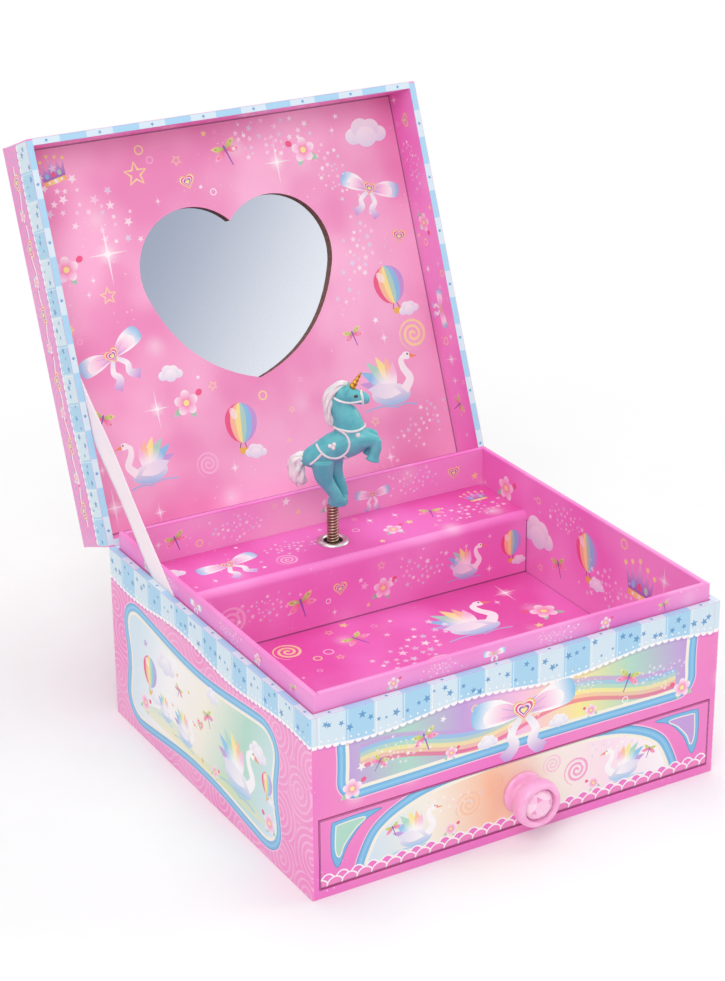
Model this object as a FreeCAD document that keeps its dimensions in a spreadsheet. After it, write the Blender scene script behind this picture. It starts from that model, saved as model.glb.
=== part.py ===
import FreeCAD, Part
import math
import os
import re

import Sketcher

# A musical jewellery box of paper-covered board, in millimetres.
# Origin: centre of the case's underside. X runs along the front, Y to the back, Z up.
# The lid is stored open, leaning back against its ribbon, and the drawer shut.

Vector = FreeCAD.Vector
X_AXIS = Vector(1, 0, 0)
Y_AXIS = Vector(0, 1, 0)
Z_AXIS = Vector(0, 0, 1)

DIMENSIONS = {
    # case
    "case_width": 160,
    "case_depth": 147,
    "rim_height": 66,
    "wall": 2.5,
    "base_thick": 3,
    "edge_round": 0.6,
    # tray, neck boards and step
    "bay_top": 29.2,
    "tray_top": 33,
    "tray_thick": 2,
    "neck_inset": 2.9,
    "neck_thick": 2,
    "neck_rise": 6.5,
    "step_front": 37.3,
    "step_top": 57.7,
    "step_thick": 1.8,
    "fold_radius": 3,
    # lid, measured from the hinge line
    "lid_height": 24.5,
    "lid_wall": 2.5,
    "lid_gap": 0.3,
    "lid_angle": 111.5,
    "lining_depth": 17,
    "lining_thick": 2,
    "mirror_thick": 1.5,
    "mirror_margin": 4,
    "mirror_play": 0.2,
    "heart_lobe_radius": 23,
    "heart_lobe_x": 17,
    "heart_lobe_y": 91.9,
    "heart_lobe_end": 20,
    "heart_tip_y": 47.6,
    "heart_bulge": 4.9,
    # hinge cloth and ribbon
    "cloth_thick": 0.4,
    "cloth_leaf": 12,
    "cloth_margin": 6,
    "ribbon_width": 11,
    "ribbon_thick": 0.3,
    "ribbon_length": 101.5,
    "ribbon_angle": 38.9,
    "ribbon_low_y": 28,
    "ribbon_low_z": 60,
    "ribbon_play": 0.05,
    # drawer
    "drawer_play": 0.3,
    "drawer_low": 3.7,
    "drawer_high": 28.7,
    "drawer_board": 1.8,
    "drawer_side_high": 26,
    "drawer_back": 36.3,
    "knob_height": 16,
    "knob_flange_radius": 7.6,
    "knob_flange_thick": 1.2,
    "knob_waist_radius": 4.9,
    "knob_waist_reach": 3,
    "knob_head_radius": 8.5,
    "knob_head_reach": 6.2,
    "knob_reach": 11.6,
    "knob_edge_round": 1.3,
    "knob_rim_wide": 1.2,
    "knob_rim_slope": 0.5,
    "knob_cup_radius": 5.9,
    "knob_cup_floor": 9.2,
    "gem_radius": 5.5,
    "gem_crown_wide": 2,
    "gem_girdle": 0.8,
    "gem_height": 2.9,
    "knob_screw_radius": 1.2,
    "knob_screw_reach": 5.8,
    "knob_screw_play": 0.2,
    "knob_screw_head_wide": 1.4,
    "knob_screw_head_tall": 1.5,
    # figure, spring and eyelet
    "figure_y": 53,
    "figure_yaw": -31,
    "eyelet_bore": 3.6,
    "eyelet_barrel": 4.25,
    "eyelet_flange": 6.2,
    "eyelet_lip": 0.8,
    "eyelet_mouth": 0.2,
    "eyelet_roll": 0.6,
    "spring_wire": 0.7,
    "spring_flats": 6,
    "spring_radius": 1.75,
    "spring_pitch": 1.15,
    "spring_low": 57.4,
    "spring_turns": 13,
    "peg_radius": 1.3,
    "peg_long": 3.2,
    # movement
    "bedplate_half_width": 27,
    "bedplate_low": 5,
    "bedplate_high": 55,
    "bedplate_thick": 2.5,
    "boss_inner": 18,
    "spindle_radius": 1.5,
    "spindle_lift": 0.4,
    "pivot_radius": 1,
    "close_fit": 0.05,
    "press_play": 0.03,
    "bearing_play": 0.05,
    "barrel_height": 19,
    "barrel_back": 67.4,
    "barrel_radius": 13,
    "barrel_depth": 10.35,
    "crown_teeth": 36,
    "crown_inner": 10.6,
    "crown_outer": 12.8,
    "crown_tall": 1.3,
    "crown_sunk": 0.3,
    "crown_foot_half": 0.46,
    "crown_tip_half": 0.22,
    "arbor_radius": 1.6,
    "arbor_way_play": 0.6,
    "arbor_reach": 87,
    "arbor_low": 58,
    "drive_teeth": 10,
    "drive_module": 0.65,
    "drive_low": 29.2,
    "drive_wide": 3.2,
    "cylinder_radius": 6.5,
    "cylinder_low": 33.6,
    "cylinder_high": 50,
    "pin_radius": 0.2,
    "pin_tall": 0.5,
    "comb_tracks": 18,
    "comb_pitch": 0.9,
    "comb_first": 34.3,
    "comb_tip": 7.2,
    "comb_thick": 0.9,
    "comb_slot": 0.14,
    "comb_heel": 26,
    "comb_root": 20,
    "comb_heel_treble": 19.5,
    "comb_heel_bass": 14.5,
    "housing_inner": -10,
    "housing_low": 36,
    "lug_start": -3,
    "lug_overlap": 4,
    "lug_half_depth": 3.5,
    "lower_lug_front": 2.6,
    "lower_lug_back": 2.4,
    "lug_low": 25,
    "lug_high": 28,
    "top_lug_low": 52.4,
    "top_lug_high": 54.4,
    "screw_radius": 1.2,
    "screw_way_play": 0.3,
    "screw_long": 4.5,
    "screw_head_radius": 2.6,
    "screw_head_tall": 1.4,
    # winding key
    "key_boss_radius": 3.5,
    "key_low": 75.5,
    "key_wing_low": 80,
    "key_wing_high": 92,
    "key_half_span": 12.5,
    "key_thick": 1.8,
    "key_hole_radius": 2.6,
    "key_play": 0.02,
}

# Where the screws go through the back wall into the bedplate, as X and Z.
MOVEMENT_SCREWS = (("-21", "10"), ("21", "45"))

# Turn between one track's pin and the next, which spreads them evenly round the cylinder.
GOLDEN_ANGLE = 137.5

# Limbs of the figure: the limb's sideways offset, its breadth as a share of its depth, then stations
# along it as (forward, up, half depth in profile), all from the spring's axis at the step.
OVAL_CORNERS = 8
FIGURE_LIMBS = {
    "torso": (0, 0.84, [
        (-11, 31.6, 1.6), (-7.9, 32.8, 3.9), (-4, 34.4, 4.8), (1.2, 37.3, 5.6), (7, 39.7, 5.8),
        (11.2, 41.2, 4.5), (13.4, 42.6, 2.2)]),
    "neck": (0, 0.74, [(7.2, 42, 5.9), (5.6, 48.2, 5.2), (3.8, 52.6, 4), (3.3, 56.6, 3.4)]),
    "head": (0, 0.8, [
        (2.2, 58.8, 2.7), (4.9, 57.5, 3.8), (8.7, 56.7, 2.9), (12, 55.9, 2.3), (13.8, 55.6, 1.3)]),
    "near_forearm": (-2.3, 0.66, [(9.5, 40.6, 3.6), (14.3, 41, 2.7), (17, 40.4, 1.5)]),
    "near_foreleg": (-2.3, 0.8, [(16.3, 41.2, 1.7), (16.1, 37.9, 2), (15.3, 35, 2), (14.7, 32.8, 2.7)]),
    "far_forearm": (2.3, 0.66, [(9.5, 40.5, 3.5), (14, 40.9, 2.6), (16.2, 40.2, 1.5)]),
    "far_foreleg": (2.3, 0.84, [(15.4, 40.8, 1.7), (14.7, 37.6, 1.8), (13.7, 35, 1.8), (12.9, 33.2, 2.2)]),
    "near_hind_leg": (-2, 0.72, [
        (-3.3, 32.4, 4.3), (-2.9, 26.5, 3.5), (-1.1, 22.9, 2.6), (1.2, 19.1, 2.4), (2, 16.4, 2.7)]),
    "far_hind_leg": (1.9, 0.76, [
        (0.2, 32.2, 4.2), (1.4, 26.5, 2.6), (2.8, 22.7, 2.2), (3.5, 19.1, 2.2), (3.3, 16.4, 2.4)]),
    "hoof_base": (0, 0.97, [(2, 15.4, 3.8), (2, 17.6, 3.5)]),
    "tail": (0, 0.72, [
        (-9.6, 34.2, 1.3), (-12.4, 32.6, 2.6), (-12.9, 28.2, 3.1), (-11.8, 24.6, 2.7), (-10.8, 22, 2.2)]),
    "mane": (0, 0.82, [
        (5.4, 62, 0.9), (2.6, 61, 1.9), (-0.5, 57.4, 2), (-1.4, 53, 1.8), (-0.7, 48.6, 1.5),
        (0.6, 45.3, 0.7)]),
    "near_ear": (-2.3, 0.7, [(4.8, 58.4, 1), (5.6, 60, 0.9), (6.3, 61.4, 0.4)]),
    "far_ear": (2.3, 0.7, [(4.8, 58.4, 1), (5.6, 60, 0.9), (6.3, 61.4, 0.4)]),
    "horn": (0, 1, [(7.2, 59.6, 1.5), (10.8, 65.9, 0.3)]),
}

# How near two places are taken to be the same.
TOUCH = 0.01

doc = FreeCAD.newDocument("jewellery_box")
sheet = doc.addObject("Spreadsheet::Sheet", "dims")
for row, (alias, number) in enumerate(DIMENSIONS.items(), start=1):
    sheet.set(f"A{row}", alias)
    sheet.set(f"B{row}", str(number))
    sheet.setAlias(f"B{row}", alias)
doc.recompute()

sub_parts = []


def in_sheet(text):
    """An expression with each driving dimension's name led by the sheet's."""
    return re.sub(r"[a-z][a-z_]+", lambda m: f"dims.{m[0]}" if m[0] in DIMENSIONS else m[0], text)


def size(text):
    """The number that an expression gives."""
    return float(sheet.evalExpression(in_sheet(text)))


def bind(item, name, text):
    """Drives one property of an object by an expression."""
    item.setExpression(name, in_sheet(text))


def sub_part(item, label):
    """Names an object as one of the pieces that are written out."""
    item.Label = label
    sub_parts.append(item)
    return item


def place(item, x="0", y="0", z="0", axis=Z_AXIS, angle="0"):
    """Places an object by expressions, turned about an axis through its own origin."""
    item.Placement = FreeCAD.Placement(Vector(), FreeCAD.Rotation(axis, 0))
    for letter, text in (("x", x), ("y", y), ("z", z)):
        bind(item, f"Placement.Base.{letter}", text)
    bind(item, "Placement.Rotation.Angle", angle)
    return item


def on_lid(item):
    """Swings a piece drawn on the shut lid, from the hinge line, to where the open lid stands."""
    return place(item, y="case_depth / 2", z="rim_height", axis=X_AXIS, angle="-lid_angle")


def box(name, x, y, z):
    """Box between low and high expressions on each axis."""
    item = doc.addObject("Part::Box", name)
    for prop, letter, (low, high) in (("Length", "x", x), ("Width", "y", y), ("Height", "z", z)):
        bind(item, prop, f"({high}) - ({low})")
        bind(item, f"Placement.Base.{letter}", low)
    return item


def rounded(item, name, keep):
    """Rounds the edges of a board whose middle point passes the test keep."""
    doc.recompute()
    radius = size("edge_round")
    edges = [
        (number, radius, radius)
        for number, edge in enumerate(item.Shape.Edges, start=1)
        if keep(edge.CenterOfMass)
    ]
    fillet = doc.addObject("Part::Fillet", name)
    fillet.Base = item
    fillet.Edges = edges
    return fillet


def rod(name, radius, x, y, z, length, axis=Z_AXIS, angle="0"):
    """Cylinder from a point along a turned axis."""
    item = doc.addObject("Part::Cylinder", name)
    bind(item, "Radius", radius)
    bind(item, "Height", length)
    return place(item, x, y, z, axis, angle)


def rod_to_back(name, radius, x, y, z, length):
    """Cylinder that runs from a point towards the back."""
    return rod(name, radius, x, y, z, length, X_AXIS, "-90")


def fused(name, items):
    """One solid from several."""
    item = doc.addObject("Part::MultiFuse", name)
    item.Shapes = items
    item.Refine = True
    return item


def cut(name, base, tools):
    """A solid with others cut out of it."""
    item = doc.addObject("Part::Cut", name)
    item.Base = base
    item.Tool = tools[0] if len(tools) == 1 else fused(f"{name}_tools", tools)
    item.Refine = True
    return item


def new_body(name):
    """Empty body."""
    return doc.addObject("PartDesign::Body", name)


def origin_of(body, role):
    """A body's own origin plane or axis."""
    return next(item for item in body.Origin.OriginFeatures if item.Role == role)


def sketch_on(body, role, name, lift="0"):
    """Sketch on one of the body's origin planes, lifted along its normal."""
    sketch = body.newObject("Sketcher::SketchObject", name)
    sketch.AttachmentSupport = [(origin_of(body, role), "")]
    sketch.MapMode = "FlatFace"
    bind(sketch, "AttachmentOffset.Base.z", lift)
    return sketch


def hold_point(sketch, side, end, x, y):
    """Ties one point of a sketch to the origin by two expressions."""
    for kind, axis, text in (("DistanceX", -2, x), ("DistanceY", -1, y)):
        if text == "0":
            sketch.addConstraint(Sketcher.Constraint("PointOnObject", side, end, axis))
            continue
        number = sketch.addConstraint(Sketcher.Constraint(kind, -1, 1, side, end, size(text)))
        bind(sketch, f"Constraints[{number}]", text)


def outline(sketch, corners, bends=None):
    """Closed outline through corners, each a pair of expressions.

    bends gives, for a side's number, a point that this side passes through as an arc.
    """
    bends = bends or {}
    points = [Vector(size(x), size(y), 0) for x, y in corners]
    sides = []
    for number, start in enumerate(points):
        end = points[(number + 1) % len(points)]
        if number in bends:
            through = Vector(*(size(text) for text in bends[number]), 0)
            side = sketch.addGeometry(Part.Arc(start, through, end), False)
        else:
            side = sketch.addGeometry(Part.LineSegment(start, end), False)
        first = 1 if sketch.getPoint(side, 1).isEqual(start, 1e-6) else 2
        sides.append((side, first, 3 - first))
    for (side, _, last), (after, first, _) in zip(sides, sides[1:] + sides[:1]):
        sketch.addConstraint(Sketcher.Constraint("Coincident", side, last, after, first))
    for (side, first, _), (x, y) in zip(sides, corners):
        hold_point(sketch, side, first, x, y)


def circle(sketch, x, y, radius):
    """Circle by expressions."""
    middle = Vector(size(x), size(y), 0)
    side = sketch.addGeometry(Part.Circle(middle, Z_AXIS, size(radius)), False)
    number = sketch.addConstraint(Sketcher.Constraint("Radius", side, size(radius)))
    bind(sketch, f"Constraints[{number}]", radius)
    hold_point(sketch, side, 3, x, y)


def pad(body, sketch, length, both_ways=False):
    """Pad of a sketch."""
    feature = body.newObject("PartDesign::Pad", f"{sketch.Name}_pad")
    feature.Profile = sketch
    bind(feature, "Length", length)
    if both_ways:
        feature.SideType = "Symmetric"
    return feature


def pocket(body, sketch, length, both_ways=False):
    """Pocket of a sketch, which has to take some of the solid away."""
    doc.recompute()
    before = body.Shape.Volume
    feature = body.newObject("PartDesign::Pocket", f"{sketch.Name}_pocket")
    feature.Profile = sketch
    bind(feature, "Length", length)
    if both_ways:
        feature.SideType = "Symmetric"
    doc.recompute()
    if body.Shape.Volume > before - 1e-6:
        raise RuntimeError(f"{feature.Name} cuts nothing")
    return feature


def turned(name, profile):
    """Body turned about its own Z from a half section of (radius, height) expressions."""
    body = new_body(name)
    sketch = sketch_on(body, "XZ_Plane", f"{name}_section")
    outline(sketch, profile)
    feature = body.newObject("PartDesign::Revolution", f"{name}_turned")
    feature.Profile = sketch
    feature.ReferenceAxis = (sketch, ["V_Axis"])
    feature.Angle = 360
    return body


def round_pattern(body, feature, count):
    """Repeats a feature of a body round the body's Z."""
    pattern = body.newObject("PartDesign::PolarPattern", f"{feature.Name}_round")
    pattern.Originals = [feature]
    pattern.Axis = (origin_of(body, "Z_Axis"), [""])
    pattern.Angle = 360
    bind(pattern, "Occurrences", count)
    body.Tip = pattern


def spur_teeth(body, name, teeth, module, low, wide):
    """Ring of spur teeth on a hub of the root radius."""
    pitch = f"{teeth} * {module} / 2"
    sketch = sketch_on(body, "XY_Plane", name, low)
    root = f"{pitch} - 1.4 * {module}"
    tip = f"{pitch} + 0.8 * {module}"
    outline(
        sketch,
        [
            (root, f"-0.85 * {module}"),
            (tip, f"-0.3 * {module}"),
            (tip, f"0.3 * {module}"),
            (root, f"0.85 * {module}"),
        ],
    )
    round_pattern(body, pad(body, sketch, wide), teeth)


def root_radius(teeth, module):
    """Radius at the foot of the teeth."""
    return f"{teeth} * {module} / 2 - 1.2 * {module}"


def make_case():
    """Walls, base and front panel of the outer case."""
    half = "case_width / 2"
    front = "-case_depth / 2"
    back = "case_depth / 2"
    inner = f"{half} - wall"
    depth = (front, back)
    between = (f"-({inner})", inner)

    sub_part(
        box("base", between, (front, f"{back} - wall"), ("0", "base_thick")),
        "base_board",
    )
    for label, x in (("left_wall", (f"-{half}", f"-({inner})")), ("right_wall", (inner, half))):
        outer = size(x[0]) if label == "left_wall" else size(x[1])
        wall = box(f"{label}_board", x, depth, ("0", "rim_height"))

        def on_corner(point, face=outer):
            """Whether an edge is one of the wall's outer upright ones."""
            return abs(point.x - face) < TOUCH and abs(abs(point.y) - size(back)) < TOUCH

        sub_part(rounded(wall, f"{label}_round", on_corner), label)

    wall_face = f"{back} - wall"
    panel = box("back_board", between, (wall_face, back), ("0", "rim_height"))
    arbor_way = "arbor_radius + arbor_way_play"
    screw_way = "screw_radius + screw_way_play"
    holes = [rod_to_back("arbor_way", arbor_way, "0", wall_face, "barrel_height", "wall")]
    for number, (x, z) in enumerate(MOVEMENT_SCREWS):
        holes.append(rod_to_back(f"screw_way_{number}", screw_way, x, wall_face, z, "wall"))
    sub_part(cut("back_panel", panel, holes), "back_wall")

    sub_part(
        box("front_board", between, (front, f"{front} + wall"), ("bay_top", "rim_height")),
        "front_panel",
    )


def make_tray():
    """Tray floor, neck boards, step over the movement and the board behind the drawer bay."""
    inner = "case_width / 2 - wall"
    neck_outer = "case_width / 2 - neck_inset"
    neck_inner = f"{neck_outer} - neck_thick"
    neck_front = "-case_depth / 2 + neck_inset"
    neck_back = "case_depth / 2 - neck_inset"
    neck_top = "rim_height + neck_rise"
    step_back = "case_depth / 2 - wall"
    step_inner = "step_front + step_thick"

    sub_part(
        box("tray", (f"-({inner})", inner), ("-case_depth / 2 + wall", step_inner),
            ("tray_top - tray_thick", "tray_top")),
        "tray_floor",
    )
    sub_part(
        box("bay_back", (f"-({inner})", inner), ("step_front", step_inner),
            ("base_thick", "tray_top - tray_thick")),
        "bay_back_board",
    )
    across = (f"-({neck_inner})", neck_inner)
    boards = {
        "neck_left": ((f"-({neck_outer})", f"-({neck_inner})"), (neck_front, neck_back), "tray_top"),
        "neck_right": ((neck_inner, neck_outer), (neck_front, neck_back), "tray_top"),
        "neck_front": (across, (neck_front, f"{neck_front} + neck_thick"), "tray_top"),
        "neck_back": (across, (f"{neck_back} - neck_thick", neck_back), "step_top"),
    }
    for label, (x, y, low) in boards.items():
        board = box(f"{label}_board", x, y, (low, neck_top))
        axis = "x" if label in ("neck_front", "neck_back") else "y"

        def at_top(point, along=axis):
            """Whether an edge is one of the board's two long upper ones."""
            return abs(point.z - size(neck_top)) < TOUCH and abs(getattr(point, along)) < TOUCH

        sub_part(rounded(board, f"{label}_round", at_top), label)

    step = new_body("step_cover_body")
    section = sketch_on(step, "YZ_Plane", "step_section")
    inner_radius = "(fold_radius - step_thick)"
    bend = math.sqrt(0.5)
    outline(
        section,
        [
            ("step_front", "tray_top"),
            ("step_front", "step_top - fold_radius"),
            ("step_front + fold_radius", "step_top"),
            (step_back, "step_top"),
            (step_back, "step_top - step_thick"),
            ("step_front + fold_radius", "step_top - step_thick"),
            (step_inner, "step_top - fold_radius"),
            (step_inner, "tray_top"),
        ],
        {
            1: (f"step_front + fold_radius * (1 - {bend})", f"step_top - fold_radius * (1 - {bend})"),
            5: (f"step_front + fold_radius - {inner_radius} * {bend}",
                f"step_top - fold_radius + {inner_radius} * {bend}"),
        },
    )
    pad(step, section, f"2 * ({neck_inner})", both_ways=True)
    hole = sketch_on(step, "XY_Plane", "eyelet_hole", "step_top")
    circle(hole, "0", "figure_y", "eyelet_barrel + close_fit")
    pocket(step, hole, "step_thick")
    sub_part(step, "step_cover")

    roll_low = "-step_thick - eyelet_roll"
    roll_radius = "eyelet_flange - eyelet_roll"
    eyelet = turned(
        "eyelet_body",
        [
            ("eyelet_bore", roll_low),
            (roll_radius, roll_low),
            (roll_radius, "-step_thick"),
            ("eyelet_barrel", "-step_thick"),
            ("eyelet_barrel", "0"),
            ("eyelet_flange", "0"),
            ("eyelet_flange - eyelet_lip", "eyelet_lip"),
            ("eyelet_bore", "eyelet_mouth"),
        ],
    )
    sub_part(place(eyelet, y="figure_y", z="step_top"), "eyelet")


def heart_pocket(body, depth, top):
    """Cuts a heart-shaped window, its tip towards the hinge."""
    join_x = "heart_lobe_x + heart_lobe_radius * cos(heart_lobe_end * 1deg)"
    join_y = "heart_lobe_y - heart_lobe_radius * sin(heart_lobe_end * 1deg)"
    notch_y = "heart_lobe_y + sqrt(heart_lobe_radius ^ 2 - heart_lobe_x ^ 2)"
    side_x = f"({join_x}) / 2 + heart_bulge"
    side_y = f"(({join_y}) + heart_tip_y) / 2 - heart_bulge"
    lobe_top = "heart_lobe_y + heart_lobe_radius"
    window = sketch_on(body, "XY_Plane", "heart_window", top)
    outline(
        window,
        [
            ("0", f"-({notch_y})"),
            (join_x, f"-({join_y})"),
            ("0", "-heart_tip_y"),
            (f"-({join_x})", f"-({join_y})"),
        ],
        {
            0: ("heart_lobe_x", f"-({lobe_top})"),
            1: (side_x, f"-({side_y})"),
            2: (f"-({side_x})", f"-({side_y})"),
            3: ("-heart_lobe_x", f"-({lobe_top})"),
        },
    )
    pocket(body, window, depth)


def make_lid():
    """Lid boards, heart lining, mirror with its spacer, and backing board."""
    half = "case_width / 2"
    inner = f"{half} - lid_wall"
    front = "-case_depth"
    under_top = "lid_height - lid_wall"
    across = (f"-({inner})", inner)
    deep = (f"{front} + lid_wall", "-lid_wall")
    high = ("lid_gap", under_top)

    top = box("lid_top", (f"-{half}", half), (front, "0"), (under_top, "lid_height"))

    def on_rim(point):
        """Whether an edge goes round the lid's outer face."""
        return abs(point.z - size("lid_height")) < TOUCH

    def on_corner(point):
        """Whether an edge is one of a side wall's outer upright ones."""
        upright = abs(point.z - size(f"(lid_gap + {under_top}) / 2")) < TOUCH
        return upright and abs(abs(point.x) - size(half)) < TOUCH

    sub_part(on_lid(rounded(top, "lid_top_round", on_rim)), "lid_board")

    walls = {
        "lid_left_wall": ((f"-{half}", f"-({inner})"), (front, "0")),
        "lid_right_wall": ((inner, half), (front, "0")),
        "lid_front_wall": (across, (front, f"{front} + lid_wall")),
        "lid_back_wall": (across, ("-lid_wall", "0")),
    }
    for label, (x, y) in walls.items():
        wall = box(f"{label}_board", x, y, high)
        if label in ("lid_front_wall", "lid_back_wall"):
            moved = doc.addObject("Part::Compound", f"{label}_set")
            moved.Links = [wall]
        else:
            moved = rounded(wall, f"{label}_round", on_corner)
        sub_part(on_lid(moved), label)

    lining = new_body("lid_lining_body")
    sheet_outline = sketch_on(lining, "XY_Plane", "lining_outline", "lining_depth")
    outline(
        sheet_outline,
        [(across[0], deep[0]), (across[1], deep[0]), (across[1], deep[1]), (across[0], deep[1])],
    )
    pad(lining, sheet_outline, "lining_thick")
    heart_pocket(lining, "lining_thick", "lining_depth + lining_thick")
    sub_part(on_lid(lining), "lid_lining")

    mirror_low = "lining_depth + lining_thick"
    mirror_high = f"{mirror_low} + mirror_thick"
    reach = "heart_lobe_x + heart_lobe_radius + mirror_margin"
    far = "-(heart_lobe_y + heart_lobe_radius + mirror_margin)"
    near = "-(heart_tip_y - mirror_margin)"
    glass = box("mirror_sheet", (f"-({reach})", reach), (far, near), (mirror_low, mirror_high))
    glass_set = doc.addObject("Part::Compound", "mirror_set")
    glass_set.Links = [glass]
    sub_part(on_lid(glass_set), "heart_mirror")

    spacer = box("spacer_board", across, deep, (mirror_low, mirror_high))
    opening = box(
        "spacer_opening",
        (f"-({reach}) - mirror_play", f"{reach} + mirror_play"),
        (f"{far} - mirror_play", f"{near} + mirror_play"),
        (mirror_low, mirror_high),
    )
    sub_part(on_lid(cut("spacer_cut", spacer, [opening])), "mirror_spacer")

    backing = box("backing_card", across, deep, (mirror_high, under_top))
    backing_set = doc.addObject("Part::Compound", "backing_set")
    backing_set.Links = [backing]
    sub_part(on_lid(backing_set), "mirror_backing")


def make_hinge_and_ribbon():
    """Cloth strip along the back and the satin ribbon that stays the lid on the left."""
    back = "case_depth / 2"
    rise = "sin(lid_angle * 1deg)"
    run = "cos(lid_angle * 1deg)"
    cloth = new_body("hinge_cloth_body")
    section = sketch_on(cloth, "YZ_Plane", "cloth_section")
    skin_y = f"{back} + cloth_thick * {run}"
    skin_z = f"rim_height - cloth_thick * {rise}"
    fold = f"cloth_thick * (1 - {run}) / {rise}"
    outline(
        section,
        [
            (back, "rim_height - cloth_leaf"),
            (f"{back} + cloth_thick", "rim_height - cloth_leaf"),
            (f"{skin_y} + {fold} * {rise}", f"{skin_z} + {fold} * {run}"),
            (f"{skin_y} + cloth_leaf * {rise}", f"{skin_z} + cloth_leaf * {run}"),
            (f"{back} + cloth_leaf * {rise}", f"rim_height + cloth_leaf * {run}"),
            (back, "rim_height"),
        ],
    )
    pad(cloth, section, "case_width - 2 * cloth_margin", both_ways=True)
    sub_part(cloth, "hinge_cloth")

    ribbon = doc.addObject("Part::Box", "ribbon_strip")
    bind(ribbon, "Length", "ribbon_thick")
    bind(ribbon, "Width", "ribbon_length")
    bind(ribbon, "Height", "ribbon_width")
    place(
        ribbon,
        "-case_width / 2 + wall + ribbon_play",
        "ribbon_low_y + ribbon_width / 2 * sin(ribbon_angle * 1deg)",
        "ribbon_low_z - ribbon_width / 2 * cos(ribbon_angle * 1deg)",
        X_AXIS,
        "ribbon_angle",
    )
    sub_part(ribbon, "ribbon_stay")


def make_drawer():
    """Drawer of thin board with a turned knob, its gem and its screw."""
    half = "case_width / 2 - wall - drawer_play"
    inner = f"{half} - drawer_board"
    front = "-case_depth / 2"
    face_back = f"{front} + wall"
    floor_top = "drawer_low + drawer_board"
    across = (f"-({half})", half)
    along = (face_back, "drawer_back")
    side_high = (floor_top, "drawer_side_high")

    face = box("drawer_face", across, (front, face_back), ("drawer_low", "drawer_high"))
    screw_way = rod_to_back(
        "knob_screw_way", "knob_screw_radius + knob_screw_play", "0", front, "knob_height", "wall"
    )
    sub_part(cut("drawer_face_cut", face, [screw_way]), "drawer_front")
    boards = {
        "drawer_bottom": (across, along, ("drawer_low", floor_top)),
        "drawer_left_side": ((f"-({half})", f"-({inner})"), along, side_high),
        "drawer_right_side": ((inner, half), along, side_high),
        "drawer_back": ((f"-({inner})", inner), ("drawer_back - drawer_board", "drawer_back"), side_high),
    }
    for label, (x, y, z) in boards.items():
        sub_part(box(f"{label}_board", x, y, z), label)

    knob = turned(
        "knob_body",
        [
            ("knob_screw_radius + close_fit", "0"),
            ("knob_flange_radius", "0"),
            ("knob_flange_radius", "knob_flange_thick"),
            ("knob_waist_radius", "knob_waist_reach"),
            ("knob_head_radius", "knob_head_reach"),
            ("knob_head_radius", "knob_reach - knob_edge_round"),
            ("knob_cup_radius + knob_rim_wide", "knob_reach"),
            ("knob_cup_radius", "knob_reach - knob_rim_slope"),
            ("knob_cup_radius", "knob_cup_floor"),
            ("0", "knob_cup_floor"),
            ("0", "knob_screw_reach + knob_screw_play"),
            ("knob_screw_radius + close_fit", "knob_screw_reach + knob_screw_play"),
        ],
    )
    sub_part(place(knob, "0", front, "knob_height", X_AXIS, "90"), "drawer_knob")

    gem = doc.addObject("Part::Prism", "gem_blank")
    gem.Polygon = 8
    bind(gem, "Circumradius", "gem_radius")
    bind(gem, "Height", "gem_height")
    bind(gem, "Placement.Base.z", "knob_cup_floor")
    doc.recompute()
    table = size("knob_cup_floor + gem_height")
    crown = doc.addObject("Part::Chamfer", "gem_crown")
    crown.Base = gem
    crown.Edges = [
        (number, size("gem_height - gem_girdle"), size("gem_crown_wide"))
        for number, edge in enumerate(gem.Shape.Edges, start=1)
        if abs(edge.CenterOfMass.z - table) < TOUCH
    ]
    sub_part(place(crown, "0", front, "knob_height", X_AXIS, "90"), "knob_gem")

    head_radius = "knob_screw_radius + knob_screw_head_wide"
    screw = turned(
        "knob_screw_body",
        [
            ("0", "-wall - knob_screw_head_tall"),
            (head_radius, "-wall - knob_screw_head_tall"),
            (head_radius, "-wall"),
            ("knob_screw_radius", "-wall"),
            ("knob_screw_radius", "knob_screw_reach"),
            ("0", "knob_screw_reach"),
        ],
    )
    sub_part(place(screw, "0", front, "knob_height", X_AXIS, "90"), "knob_screw")


def coil_points(turn):
    """Point and direction of the coil's wire after so many turns."""
    radius = size("spring_radius")
    pitch = size("spring_pitch")
    angle = 2 * math.pi * turn
    point = Vector(radius * math.cos(angle), radius * math.sin(angle), pitch * turn)
    rate = pitch / (2 * math.pi)
    direction = Vector(-radius * math.sin(angle), radius * math.cos(angle), rate).normalize()
    return point, direction


def tangent_arc(start, corner, end):
    """Arc between two points whose end tangents meet at the corner."""
    chord_middle = (start + end) * 0.5
    inwards = chord_middle - corner
    leg = (corner - start).Length
    half_turn = math.pi / 2 - (start - corner).getAngle(end - corner) / 2
    sagitta = leg / math.tan(half_turn) * (1 / math.cos(half_turn) - 1)
    return Part.Arc(start, corner + inwards.normalize() * sagitta, end).toShape()


def biarc(start, start_direction, end, end_direction):
    """Two arcs that leave one point and reach another in given directions."""
    span = end - start
    both = start_direction + end_direction
    spread = 2 * (1 - start_direction.dot(end_direction))
    reach = (math.sqrt(span.dot(both) ** 2 + spread * span.dot(span)) - span.dot(both)) / spread
    first = start + start_direction * reach
    second = end - end_direction * reach
    join = (first + second) * 0.5
    return [tangent_arc(start, first, join), tangent_arc(join, second, end)]


def coil_gap(wire, wire_diameter):
    """Least clear distance between neighbouring turns, on points along the wire."""
    turns = size("spring_turns")
    per_turn = 24
    points = wire.discretize(Number=int(turns * per_turn))
    apart = per_turn // 2
    least = min(
        points[i].distanceToPoint(points[j])
        for i in range(len(points))
        for j in range(i + apart, min(len(points), i + 3 * apart))
    )
    return least - wire_diameter


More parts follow.
